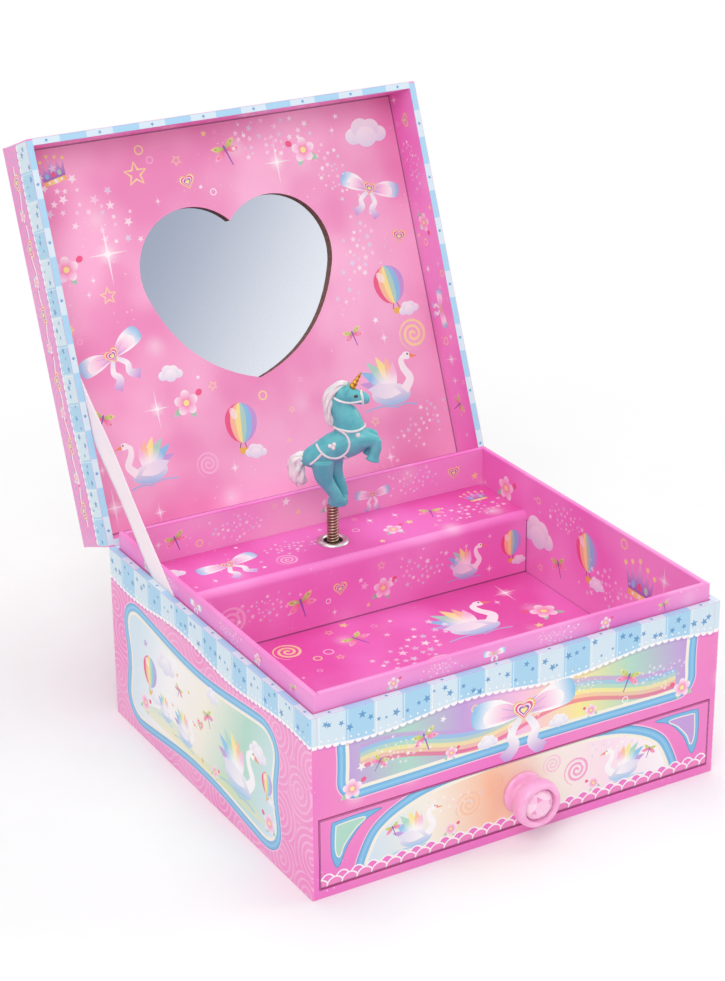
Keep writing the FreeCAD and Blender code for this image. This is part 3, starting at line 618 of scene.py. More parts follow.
@dataclass(frozen=True)
class Weave:
    """Woven ribbon or cloth-backed paper with threads both ways and a sheen."""

    name: str
    tone: Ink
    thread: Ink
    pitch: float
    sheen: float
    fold_size: float = 9.0
    roughness: float = 0.3

    def build(self) -> Material:
        """Makes the material; threads run along the piece's own flat map.

        Returns:
            The material.
        """
        nodes = Nodes(self.name)
        flat_map = nodes.add("ShaderNodeUVMap", uv_map=UV_LAYER).outputs[0]
        heights = []
        for direction in ("X", "Y"):
            wave = nodes.add("ShaderNodeTexWave", bands_direction=direction)
            nodes.fill(wave, Vector=flat_map, Scale=1 / (self.pitch * 3.2), Distortion=0.4)
            heights.append(wave.outputs["Fac"])
        threads = nodes.calc("MAXIMUM", heights[0], nodes.calc("MULTIPLY", heights[1], 0.7))
        folds = nodes.noise(self.fold_size, 2.0)
        colour = nodes.mix(nodes.calc("MULTIPLY", threads, 0.5), self.thread.linear,
                           self.tone.linear)
        nodes.set(
            Base_Color=nodes.mix(nodes.calc("MULTIPLY", folds, 0.2), colour, self.thread.linear),
            Roughness=nodes.calc("MULTIPLY_ADD", folds, 0.2, self.roughness),
            Normal=nodes.bump(threads, 0.02, 0.35),
            Sheen_Weight=self.sheen,
            Sheen_Roughness=0.35,
        )
        return nodes.material


LINING_PAPER = PrintedPaper("lining_paper", Ink.LINING, Ink.LINING_PALE)
TRAY_PAPER = PrintedPaper("tray_paper", Ink.TRAY, Ink.TRAY_PALE)
# A lighter copy of the tray paper, painted light for the inside of the back neck.
LIT_TRAY_PAPER = PrintedPaper("lit_tray_paper", Ink.TRAY_PALE, Ink.LINING_PALE)
# Hot pink paper of the tray floor; on the step top the same darker paper is painted shade.
FLOOR_AND_SHADED_STEP_PAPER = PrintedPaper("floor_and_shaded_step_paper", Ink.HOT_PINK, Ink.TRAY)
OUTER_SIDE = PrintedPaper("outer_side_paper", Ink.PINK, Ink.SOFT_PINK, Ink.PALE_PINK, Facing.SIDE)
OUTER_FRONT = PrintedPaper("outer_front_paper", Ink.TRAY, Ink.PINK)
LID_TOP = PrintedPaper("lid_top_paper", Ink.PINK, Ink.SOFT_PINK, Ink.LILAC, Facing.LID)
LID_SIDE = PrintedPaper("lid_side_paper", Ink.PINK, Ink.SOFT_PINK, Ink.LILAC, Facing.SIDE)
LID_END = PrintedPaper("lid_end_paper", Ink.PINK, Ink.SOFT_PINK, Ink.LILAC, Facing.LID_END)
PLAIN_PINK = PrintedPaper("plain_pink_paper", Ink.HOT_PINK, Ink.PINK)


def new_piece(name: str, points: Sequence[Vector], faces: Sequence[Sequence[int]],
              material: Material, smooth: bool = True) -> Object:
    """Makes a mesh piece from points in metres.

    Args:
        name: the piece's name.
        points: its corners.
        faces: corner numbers of each face.
        material: its finish.
        smooth: whether its faces are shaded as one curved surface.

    Returns:
        The piece, linked to the scene.
    """
    mesh = bpy.data.meshes.new(name)
    mesh.from_pydata(points, [], faces)
    mesh.materials.append(material)
    mesh.polygons.foreach_set("use_smooth", [smooth] * len(mesh.polygons))
    mesh.update()
    piece = bpy.data.objects.new(name, mesh)
    bpy.context.scene.collection.objects.link(piece)
    return piece


def settle(piece: Object, body: str, replaced: Sequence[str] = ()) -> Object:
    """Puts a finished piece on its body.

    Args:
        piece: the piece, in place.
        body: the body that carries it.
        replaced: nodes that it stands for.

    Returns:
        The same piece.
    """
    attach(piece, body)
    if replaced:
        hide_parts(*replaced)
    log.info("%s rides on %s", piece.name, body)
    return piece


def baked(piece: Object) -> Object:
    """Turns a piece's modifiers into its mesh.

    Args:
        piece: the piece with its modifiers.

    Returns:
        The same piece.
    """
    graph = bpy.context.evaluated_depsgraph_get()
    mesh = bpy.data.meshes.new_from_object(piece.evaluated_get(graph), depsgraph=graph)
    piece.modifiers.clear()
    piece.data = mesh
    return piece


@dataclass(frozen=True)
class Plane:
    """A flat place to print on: where its middle lies, and the ways its two axes run.

    Past flat_half on either side the sheet goes round a corner of corner_radius.
    """

    middle: Triple
    across: Triple
    up: Triple
    flat_half: float = inf
    corner_radius: float = 0.6

    def at(self, u: float, v: float) -> Vector:
        """The point in metres above which (u, v) is printed.

        Args:
            u: place across.
            v: place upwards.

        Returns:
            The point.
        """
        across, up = Vector(self.across), Vector(self.up)
        out = across.cross(up)
        over = abs(u) - self.flat_half
        place = Vector(self.middle) + up * v
        if over <= 0:
            return (place + across * u + out * PRINT_LIFT) * MM
        angle = min(over / self.corner_radius, pi / 2)
        side = copysign(1.0, u)
        reach = self.flat_half + (self.corner_radius + PRINT_LIFT) * sin(angle)
        sink = self.corner_radius - (self.corner_radius + PRINT_LIFT) * cos(angle)
        return (place + across * (side * reach) - out * sink) * MM


def anticlockwise(outline: Sequence[Point]) -> list[Point]:
    """The outline, turned round if it runs clockwise."""
    area = sum(a[0] * b[1] - b[0] * a[1] for a, b in zip(outline, [*outline[1:], outline[0]]))
    return list(outline) if area > 0 else list(reversed(outline))


def rectangle(low_u: float, low_v: float, high_u: float, high_v: float) -> list[Point]:
    """Outline of a rectangle."""
    return [(low_u, low_v), (high_u, low_v), (high_u, high_v), (low_u, high_v)]


def oval(u: float, v: float, wide: float, tall: float, turn: float = 0.0,
         count: int = 20) -> list[Point]:
    """Outline of an oval with half sizes wide and tall, turned by degrees.

    Args:
        u: place of its middle across.
        v: place of its middle upwards.
        wide: half its width.
        tall: half its height.
        turn: degrees that it is turned by.
        count: how many corners it has.

    Returns:
        The outline.
    """
    spin = Matrix.Rotation(radians(turn), 2)
    angles = [FULL_TURN * step / count for step in range(count)]
    return [tuple(spin @ Vector((wide * cos(a), tall * sin(a))) + Vector((u, v))) for a in angles]


def inset(outline: Sequence[Point], depth: float) -> list[Point]:
    """A rounded outline moved inwards all round.

    Args:
        outline: the outline.
        depth: how far it moves; below 0 it grows.

    Returns:
        The moved outline.
    """
    points = [Vector(point) for point in anticlockwise(outline)]
    moved = []
    for before, here, after in zip([points[-1], *points], points, [*points[1:], points[0]]):
        along = (after - before).normalized()
        moved.append(tuple(here + Vector((-along.y, along.x)) * depth))
    return moved


def curve(knots: Sequence[Sequence[float]], steps: int = 8) -> list[tuple[float, ...]]:
    """Smooth line through knots of any number of values each.

    Args:
        knots: what it passes through.
        steps: points for each stretch.

    Returns:
        Points of the line.
    """
    line = []
    for number in range(len(knots) - 1):
        near = [knots[max(number - 1, 0)], knots[number], knots[number + 1],
                knots[min(number + 2, len(knots) - 1)]]
        for step in range(steps):
            t = step / steps
            weights = (
                -0.5 * t + t * t - 0.5 * t ** 3,
                1 - 2.5 * t * t + 1.5 * t ** 3,
                0.5 * t + 2 * t * t - 1.5 * t ** 3,
                -0.5 * t * t + 0.5 * t ** 3,
            )
            line.append(tuple(sum(w * knot[k] for w, knot in zip(weights, near))
                              for k in range(len(knots[0]))))
    line.append(tuple(knots[-1]))
    return line


def encloses(outline: np.ndarray, spots: np.ndarray) -> np.ndarray:
    """Which spots an outline winds round, even where it crosses itself.

    Args:
        outline: the corners, one in a row.
        spots: the points to test, one in a row.

    Returns:
        True for each spot inside.
    """
    ahead = np.roll(outline, -1, axis=0)
    run, rise = (ahead - outline).T
    across, up = spots[:, :1] - outline[:, 0], spots[:, 1:] - outline[:, 1]
    side = run * up - across * rise
    upward = (up >= 0) & (up < rise) & (side > 0)
    downward = (up < 0) & (up >= rise) & (side < 0)
    return upward.sum(axis=1) != downward.sum(axis=1)


class PrintSheet:
    """A printed sheet: shapes drawn one over the other, then cut into one layer of faces."""

    def __init__(self, name: str, plane: Plane, outline: Sequence[Point],
                 paper: PrintedPaper) -> None:
        """Starts a sheet with its own outline, in millimetres on its plane.

        Args:
            name: the piece's name.
            plane: where it lies.
            outline: its edge.
            paper: its finish.
        """
        self.name = name
        self.plane = plane
        self.paper = paper
        self.points: list[Vector] = []
        self.rings: list[list[int]] = []
        self.lines: list[tuple[int, int]] = []
        self.shades: list[Shade] = []
        self.openings: set[int] = set()
        self.draw(outline, flat(Ink.WHITE, 0.0))

    def numbers(self, path: Sequence[Point]) -> list[int]:
        """Adds points and gives their numbers.

        Args:
            path: the points.

        Returns:
            Their numbers.
        """
        first = len(self.points)
        self.points.extend(Vector(point) for point in path)
        return list(range(first, len(self.points)))

    def draw(self, outline: Sequence[Point], shade: Shade) -> None:
        """Draws a filled shape over what is there."""
        self.rings.append(self.numbers(anticlockwise(outline)))
        self.shades.append(shade)

    def cut(self, outline: Sequence[Point]) -> None:
        """Cuts an opening out of the sheet."""
        self.openings.add(len(self.rings))
        self.draw(outline, flat(Ink.WHITE, 0.0))

    def guide(self, path: Sequence[Point]) -> None:
        """Adds an edge line that draws nothing, so that shades and bends follow it."""
        ring = self.numbers(path)
        self.lines.extend(zip(ring, ring[1:]))

    def stroke(self, path: Sequence[Point], width: float | Sequence[float], shade: Shade,
               closed: bool = False) -> None:
        """Draws a line of some width through points, with mitred joints.

        Args:
            path: the line's points.
            width: its width, or one width for each point.
            shade: its ink.
            closed: whether it runs back to its first point.
        """
        points = [Vector(point) for point in path]
        widths = list(width) if isinstance(width, Sequence) else [width] * len(points)
        sides = []
        for number, here in enumerate(points):
            before = points[number - 1] if number or closed else here
            ahead = (number + 1) % len(points)
            after = points[ahead] if ahead or closed else here
            along = (after - before).normalized()
            left = Vector((-along.y, along.x)) * widths[number] / 2
            sides.append((tuple(here + left), tuple(here - left)))
        pairs = zip(sides, [*sides[1:], sides[0]]) if closed else zip(sides, sides[1:])
        for (left, right), (next_left, next_right) in pairs:
            self.draw([right, next_right, next_left, left], shade)

    def halo(self, u: float, v: float, radius: float, ink: Ink, cover: float) -> None:
        """Draws a soft spot that fades out.

        Args:
            u: place across.
            v: place upwards.
            radius: where it has faded out.
            ink: its ink.
            cover: its cover in the middle.
        """
        shade = glow(u, v, radius, ink, cover)
        self.draw(oval(u, v, radius, radius, count=16), shade)
        for share in (0.66, 0.33):
            ring = oval(u, v, radius * share, radius * share, count=12)
            self.guide([*ring, ring[0]])
        self.numbers([(u, v)])

    def mesh_grid(self, low: Point, high: Point, pitch: float) -> None:
        """Adds points inside a box so that a wide ramp of colours comes out smooth.

        Args:
            low: the box's low corner.
            high: its high corner.
            pitch: distance between points.
        """
        for step_u in range(int((high[0] - low[0]) / pitch)):
            for step_v in range(int((high[1] - low[1]) / pitch)):
                self.numbers([(low[0] + (step_u + 0.5) * pitch, low[1] + (step_v + 0.5) * pitch)])

    def colour(self, shapes: Sequence[int], u: float, v: float) -> Rgba:
        """The colour where these shapes lie over each other.

        Args:
            shapes: the shapes' numbers in the order of drawing.
            u: place across.
            v: place upwards.

        Returns:
            The colour.
        """
        mixed, cover = Vector((0, 0, 0)), 0.0
        for shape in shapes:
            red, green, blue, share = self.shades[shape](u, v)
            whole = share + cover * (1 - share)
            if whole > 0:
                mixed = (Vector((red, green, blue)) * share + mixed * (cover * (1 - share))) / whole
            cover = whole
        return (*mixed, cover)

    def build(self, body: str, slot: str) -> Object:
        """Cuts the drawing into faces and puts the sheet on its body.

        Args:
            body: the body that carries the sheet.
            slot: the record's material slot; not used.

        Returns:
            The sheet.
        """
        places, _, faces, *_ = delaunay_2d_cdt(self.points, self.lines, self.rings, 0, 1e-3, False)
        middles = np.array([tuple(place) for place in places])[np.array(faces)].mean(axis=1)
        sources: list[list[int]] = [[] for _ in faces]
        for number, ring in enumerate(self.rings):
            outline = np.array([tuple(self.points[corner]) for corner in ring])
            boxed = (middles >= outline.min(0)) & (middles <= outline.max(0))
            near = np.nonzero(boxed.all(axis=1))[0]
            for face in near[encloses(outline, middles[near])]:
                sources[face].append(number)
        kept = [(face, source) for face, source in zip(faces, sources)
                if 0 in source and not self.openings.intersection(source)]
        used = sorted({corner for face, _ in kept for corner in face})
        renumber = {corner: number for number, corner in enumerate(used)}
        points = [self.plane.at(*places[corner]) for corner in used]
        rings = [[renumber[corner] for corner in face] for face, _ in kept]
        piece = new_piece(self.name, points, rings, self.paper.build(printed=True))
        mesh = piece.data
        inks = mesh.attributes.new(INK_LAYER, "FLOAT_COLOR", "CORNER")
        flat_map = mesh.uv_layers.new(name=UV_LAYER)
        spread = [[place[axis] for place in places] for axis in (0, 1)]
        low = [min(values) for values in spread]
        reach = max(max(values) - least for values, least in zip(spread, low))
        loop = 0
        for face, source in kept:
            for corner in face:
                u, v = places[corner]
                inks.data[loop].color = self.colour(source, u, v)
                flat_map.data[loop].uv = ((u - low[0]) / reach, (v - low[1]) / reach)
                loop += 1
        return settle(piece, body)


class Motif(Enum):
    """What can be stamped on a sheet."""

    STAR = "star"
    OPEN_STAR = "open_star"
    SPARKLE = "sparkle"
    RING = "ring"
    SPIRAL = "spiral"
    DUST = "dust"
    HEART = "heart"
    FLOWER = "flower"
    BOW = "bow"
    DRAGONFLY = "dragonfly"
    BALLOON = "balloon"
    CLOUD = "cloud"
    CROWN = "crown"
    SWAN = "swan"


@dataclass
class Stamp:
    """One motif on a sheet, drawn in its own units of about 1 from its middle to its edge."""

    sheet: PrintSheet
    u: float
    v: float
    size: float
    turn: float = 0.0
    flip: bool = False
    ink: Ink = Ink.WHITE

    def at(self, x: float, y: float) -> Point:
        """Where a point of the motif falls on the sheet.

        Args:
            x: place across, in the motif's own units.
            y: place upwards.

        Returns:
            The point.
        """
        angle = radians(self.turn)
        x = -x if self.flip else x
        return (
            self.u + self.size * (x * cos(angle) - y * sin(angle)),
            self.v + self.size * (x * sin(angle) + y * cos(angle)),
        )

    def shape(self, outline: Sequence[Point], shade: Shade) -> None:
        """Draws a filled shape."""
        self.sheet.draw([self.at(*point) for point in outline], shade)

    def line(self, path: Sequence[Point], width: float | Sequence[float], shade: Shade,
             closed: bool = False) -> None:
        """Draws a line.

        Args:
            path: its points, in the motif's own units.
            width: its width, or one width for each point.
            shade: its ink.
            closed: whether it runs back to its first point.
        """
        widths = width if isinstance(width, Sequence) else [width] * len(path)
        places = [self.at(*point) for point in path]
        self.sheet.stroke(places, [w * self.size for w in widths], shade, closed)

    def fade(self, low: Point, high: Point, *inks: Ink) -> Shade:
        """Inks running from one point of the motif to another."""
        return ramp(self.at(*low), self.at(*high), inks)

    def leaf(self, start: Point, end: Point, bulge: float, shade: Shade) -> None:
        """Draws a pointed leaf or feather between two points.

        Args:
            start: one tip.
            end: the other tip.
            bulge: half its width, as a share of its length.
            shade: its shade.
        """
        a, b = Vector(start), Vector(end)
        side = Vector((a.y - b.y, b.x - a.x)) * bulge
        shares = (0.12, 0.3, 0.5, 0.7, 0.88)
        upper = [tuple(a.lerp(b, t) + side * sin(pi * t)) for t in shares]
        lower = [tuple(a.lerp(b, t) - side * sin(pi * t)) for t in reversed(shares)]
        self.shape([start, *upper, end, *lower], shade)

    @staticmethod
    def star_outline(points: int = 5, inner: float = 0.42) -> list[Point]:
        """Outline of a star with one point up.

        Args:
            points: how many points it has.
            inner: reach of the notches between them.

        Returns:
            The outline.
        """
        corners = []
        for step in range(2 * points):
            angle = pi / 2 + pi * step / points
            reach = inner if step % 2 else 1.0
            corners.append((reach * cos(angle), reach * sin(angle)))
        return corners

    @staticmethod
    def heart_outline(scale: float = 1.0) -> list[Point]:
        """Outline of a heart, its tip down.

        Args:
            scale: its size.

        Returns:
            The outline.
        """
        corners = []
        for step in range(28):
            t = FULL_TURN * (step + 0.5) / 28
            x = 16 * sin(t) ** 3
            y = 13 * cos(t) - 5 * cos(2 * t) - 2 * cos(3 * t) - cos(4 * t)
            corners.append((scale * x / 17, scale * (y + 2.5) / 17))
        return corners

    def star(self) -> None:
        """A filled star."""
        self.shape(self.star_outline(), flat(self.ink, 0.88))

    def open_star(self) -> None:
        """The outline of a star."""
        self.line(self.star_outline(), 0.17, flat(self.ink, 0.9), closed=True)

    def sparkle(self) -> None:
        """A glint with four long rays."""
        self.sheet.halo(self.u, self.v, 0.62 * self.size, Ink.WHITE, 0.8)
        rays = []
        for step in range(8):
            angle = pi * step / 4
            reach = 0.07 if step % 2 else (1.3 if step % 4 else 0.9)
            rays.append((reach * cos(angle), reach * sin(angle)))
        self.shape(rays, flat(Ink.WHITE, 0.8))
        self.shape(oval(0, 0, 0.14, 0.14, count=10), flat(Ink.WHITE))

    def ring(self) -> None:
        """A small open ring."""
        self.line(oval(0, 0, 0.85, 0.85, count=18), 0.28, flat(self.ink, 0.85), closed=True)

    def spiral(self) -> None:
        """A curl that winds outwards."""
        turns, steps = 2.7, 44
        path = []
        for step in range(steps + 1):
            share = step / steps
            angle = FULL_TURN * turns * share
            reach = 0.06 + 0.94 * share
            path.append((reach * cos(angle), reach * sin(angle)))
        widths = [0.17 * min(1.0, 4 * (1 - step / steps) + 0.15) for step in range(steps + 1)]
        self.line(path, widths, flat(self.ink, 0.78))

    def dust(self) -> None:
        """A drift of tiny stars."""
        draws = random.Random(f"{self.u:.1f},{self.v:.1f}")
        spots: list[Triple] = []
        for _ in range(90):
            x, y = draws.gauss(0, 0.5), draws.gauss(0, 0.22)
            reach = draws.uniform(0.045, 0.105)
            if all(hypot(x - a, y - b) > reach + r for a, b, r in spots):
                spots.append((x, y, reach))
        for x, y, reach in spots:
            tilt = radians(draws.uniform(0, 72))
            spin = Matrix.Rotation(tilt, 2)
            outline = [tuple(spin @ Vector(p) * reach + Vector((x, y)))
                       for p in self.star_outline()]
            self.shape(outline, flat(draws.choice((Ink.WHITE, Ink.PEARL, Ink.BLUSH)),
                                     draws.uniform(0.55, 0.9)))

    def heart(self) -> None:
        """Hearts inside each other."""
        layers = ((1.0, Ink.GOLD), (0.88, Ink.CREAM), (0.78, Ink.ROSE), (0.6, Ink.BLUSH),
                  (0.46, Ink.VIOLET), (0.3, Ink.LEMON))
        for scale, ink in layers:
            self.shape(self.heart_outline(scale), flat(ink))

    def flower(self) -> None:
        """A five-petalled flower with leaves and a bud."""
        self.leaf((-0.1, -0.2), (-1.0, -0.7), 0.2,
                  self.fade((-0.1, -0.2), (-1, -0.7), Ink.LEAF, Ink.MINT))
        self.leaf((0.1, -0.3), (0.5, -1.0), 0.22, self.fade((0, 0), (0.5, -1), Ink.LEAF, Ink.MINT))
        self.shape(oval(0.95, 0.5, 0.24, 0.2, 30, 12), flat(Ink.ROSE))
        for step in range(5):
            angle = pi / 2 + FULL_TURN * step / 5
            x, y = 0.46 * cos(angle), 0.46 * sin(angle)
            shade = self.fade((0, 0), (1.9 * x, 1.9 * y), Ink.ROSE, Ink.PALE_PINK, Ink.WHITE)
            self.shape(oval(x, y, 0.36, 0.31, degrees(angle), 14), shade)
        self.shape(oval(0, 0, 0.2, 0.2, count=10), flat(Ink.LEMON))

    def bow(self) -> None:
        """A wide satin bow with a heart on its knot."""
        for side in (-1, 1):
            tail = curve([(0.06 * side, -0.1), (0.3 * side, -0.45), (0.22 * side, -0.75),
                          (0.5 * side, -1.0)], 5)
            self.line(tail, [0.14 + 0.012 * n for n in range(len(tail))],
                      self.fade((0, 0), (0.5 * side, -1), Ink.PEARL, Ink.WHITE, Ink.LILAC))
            for reach, lift, shade in (
                (1.18, 0.44, self.fade((0, 0), (1.2 * side, 0.3), Ink.PEARL, Ink.WHITE,
                                       Ink.WHITE, Ink.SKY)),
                (0.92, 0.25, self.fade((0, 0), (0.9 * side, 0.2), Ink.LILAC, Ink.PALE_PINK,
                                       Ink.WHITE)),
            ):
                loop = curve([(0, 0.04), (0.5 * side * reach, 0.62 * lift + 0.16),
                              (side * reach, lift), (1.04 * side * reach, -0.1 * lift),
                              (0.55 * side * reach, -0.34 * lift), (0, -0.06)], 5)
                self.shape(loop, shade)
            for drop in (0.06, -0.03):
                self.line([(0.2 * side, drop), (0.55 * side, 2.6 * drop + 0.06)],
                          [0.03, 0.012], flat(Ink.LILAC, 0.8))
        centre = Stamp(self.sheet, *self.at(0, 0.02), self.size * 0.3, self.turn)
        centre.heart()

    def dragonfly(self) -> None:
        """A small dragonfly with four pastel wings."""
        wings = ((32, Ink.LEMON, Ink.LEAF), (-14, Ink.PALE_PINK, Ink.ROSE))
        for side in (0, 1):
            for lift, pale, deep in wings:
                angle = radians(180 - lift if side else lift)
                tip = (1.05 * cos(angle), 1.05 * sin(angle))
                self.leaf((0, 0.12), tip, 0.2, self.fade((0, 0), tip, deep, pale))
                middle = (0.68 * tip[0], 0.68 * tip[1] + 0.04)
                self.shape(oval(*middle, 0.1, 0.07, degrees(angle), 8), flat(deep, 0.8))
        self.line([(0, -0.95), (0, -0.3), (0, 0.3), (0, 0.42)], [0.07, 0.1, 0.17, 0.06],
                  flat(Ink.VIOLET))

    def balloon(self) -> None:
        """A striped balloon with its basket and a cloud."""
        rows = 12
        for gore in range(6):
            left, right = -1 + gore / 3, -1 + (gore + 1) / 3
            edge = []
            for share, steps in ((right, range(rows + 1)), (left, range(rows, -1, -1))):
                for step in steps:
                    angle = pi * step / rows - pi / 2
                    y = 0.35 + (0.65 if angle > 0 else 0.85) * sin(angle)
                    edge.append((0.66 * share * max(cos(angle), 0.12), y))
            self.shape(edge, flat(RAINBOW[gore]))
        self.shape([(-0.14, -0.92), (0.14, -0.92), (0.18, -0.68), (-0.18, -0.68)], flat(Ink.GOLD))
        for side in (-1, 1):
            self.line([(0.14 * side, -0.7), (0.08 * side, -0.5)], 0.03, flat(Ink.BROWN))
        self.shape(oval(-0.28, 0.62, 0.14, 0.24, 24, 12), flat(Ink.WHITE, 0.55))
        puff = Stamp(self.sheet, *self.at(0.5, -0.85), 0.45 * self.size, self.turn)
        puff.cloud()

    def cloud(self) -> None:
        """A heap of soft cloud."""
        puffs = ((-0.6, -0.12, 0.4), (0.62, -0.14, 0.38), (-0.2, 0.2, 0.46), (0.26, 0.14, 0.44),
                 (0.0, -0.2, 0.5))
        for x, y, reach in puffs:
            shade = self.fade((x, y - reach), (x, y + reach), Ink.PEARL, Ink.WHITE)
            self.shape(oval(x, y, reach, reach * 0.9, 0, 18), shade)

    def crown(self) -> None:
        """A five-pointed crown with round tips."""
        steps = (-0.95, -0.62, -0.5, -0.28, 0.0, 0.28, 0.5, 0.62, 0.95)
        rise = (0.42, -0.1, 0.62, -0.05, 0.82, -0.05, 0.62, -0.1, 0.42)
        top = list(zip(steps, rise))
        body = [(-0.72, -0.62), (0.72, -0.62), *reversed(top)]
        self.shape(body, self.fade((0, -0.6), (0, 0.8), Ink.VIOLET, Ink.LILAC, Ink.PALE_PINK))
        self.shape(rectangle(-0.74, -0.8, 0.74, -0.52),
                   self.fade((-0.7, 0), (0.7, 0), Ink.GOLD, Ink.LEMON, Ink.GOLD))
        for x, y in top[::2]:
            self.shape(oval(x, y + 0.08, 0.11, 0.11, count=10), flat(Ink.LEMON))
        for x, ink in ((-0.42, Ink.SKY), (0.0, Ink.ROSE), (0.42, Ink.MINT)):
            self.shape(oval(x, -0.24, 0.13, 0.17, count=12), flat(ink))
            self.shape(oval(x, -0.66, 0.08, 0.08, count=8), flat(Ink.WHITE))

    def swan(self) -> None:
        """A white swan whose raised feathers are tinted one by one."""
        feathers = ((165, 1.15, Ink.LILAC), (148, 1.22, Ink.SKY), (131, 1.2, Ink.MINT),
                    (114, 1.1, Ink.LEMON), (98, 0.95, Ink.PEACH), (84, 0.78, Ink.PALE_PINK))
        for angle, reach, ink in feathers:
            way = radians(angle)
            tip = (reach * cos(way) + 0.1, reach * sin(way) - 0.22)
            self.leaf((0.12, -0.3), tip, 0.13,
                      self.fade((0.1, -0.3), tip, Ink.WHITE, Ink.WHITE, ink, ink))
        self.shape(oval(-0.04, -0.4, 0.66, 0.33, -6, 24),
                   self.fade((0, -0.78), (0, 0), Ink.SKY, Ink.PEARL, Ink.WHITE))
        self.leaf((0.3, -0.42), (-0.8, -0.12), 0.2,
                  self.fade((0.3, -0.4), (-0.8, -0.1), Ink.WHITE, Ink.PEARL))
        neck = curve([(0.42, -0.36), (0.68, -0.05), (0.52, 0.3), (0.5, 0.55), (0.68, 0.66)], 6)
        self.line(neck, [0.3 - 0.007 * n for n in range(len(neck))], flat(Ink.WHITE))
        self.shape(oval(0.7, 0.64, 0.15, 0.12, -12, 14), flat(Ink.WHITE))
        self.shape([(0.8, 0.7), (1.06, 0.56), (0.8, 0.56)], flat(Ink.ORANGE))
        self.shape(oval(0.74, 0.68, 0.028, 0.035, count=8), flat(Ink.INK_DARK))
        for x, y, wide in ((-0.5, -0.76, 0.5), (0.35, -0.82, 0.4)):
            self.line(curve([(x - wide, y), (x, y + 0.06), (x + wide, y - 0.02)], 4),
                      0.05, flat(Ink.SKY, 0.8))

    def press(self, motif: Motif) -> None:
        """Draws the motif of that name."""
        getattr(self, motif.value)()


Scene = dict[Motif, list[tuple]]


@dataclass(frozen=True)
class Scatter:
    """Small stars, rings and glints strewn between the larger motifs of an area."""

    low: Point
    high: Point
    count: int
    seed: int
    inks: tuple[Ink, ...] = (Ink.WHITE, Ink.LEMON, Ink.PALE_PINK)
    spacing: float = 1.5
    glint: float = 1.6

    def draw(self, sheet: PrintSheet, keep_off: Sequence[Sequence[float]]) -> None:
        """Strews them where nothing else lies.

        Args:
            sheet: where they go.
            keep_off: places to leave free, as (u, v, radius).
        """
        draws = random.Random(self.seed)
        taken = [tuple(spot) for spot in keep_off]
        kinds = (Motif.STAR, Motif.STAR, Motif.OPEN_STAR, Motif.RING, Motif.SPARKLE)
        for _ in range(self.count):
            u, v = (draws.uniform(*ends) for ends in zip(self.low, self.high))
            kind, size = draws.choice(kinds), draws.uniform(0.9, 2.1)
            turn, ink = draws.uniform(0, 72), draws.choice(self.inks)
            if any(hypot(u - a, v - b) < r + self.spacing * size for a, b, r in taken):
                continue
            taken.append((u, v, self.spacing * size))
            upright = kind is Motif.SPARKLE
            stamp = Stamp(sheet, u, v, size * (self.glint if upright else 1),
                          0 if upright else turn, ink=ink)
            stamp.press(kind)


def press(sheet: PrintSheet, scene: Scene, scatter: Scatter | None = None,
          keep_off: Sequence[Sequence[float]] = ()) -> None:
    """Stamps motifs on a sheet and strews small ones between them.

    Args:
        sheet: where they go.
        scene: places of each motif, as (u, v, half size, turn, mirrored, ink).
        scatter: the small ones, if any.
        keep_off: more places for these to leave free, as (u, v, radius).
    """
    for motif, places in scene.items():
        for place in places:
            Stamp(sheet, *place).press(motif)
    if scatter:
        taken = [(u, v, 1.05 * size) for places in scene.values() for u, v, size, *_ in places]
        scatter.draw(sheet, [*taken, *keep_off])


def painted_gap_shade(sheet: PrintSheet, low: Point, high: Point, width: float = 0.45) -> None:
    """Paints the shade of the gap all round a board which is set between others, as a dark border.

    Args:
        sheet: the board's print.
        low: its lower corner.
        high: its upper corner.
        width: how wide the painted shade is.
    """
    half = width / 2
    for ring in (rectangle(low[0], low[1], high[0], low[1] + half),
                 rectangle(low[0], high[1] - half, *high),
                 rectangle(low[0], low[1], low[0] + half, high[1]),
                 rectangle(high[0] - half, low[1], *high)):
        # Painted shade: a dark border where the gap round the board lies in shadow.
        sheet.draw(ring, flat(Ink.INK_DARK, 0.6))


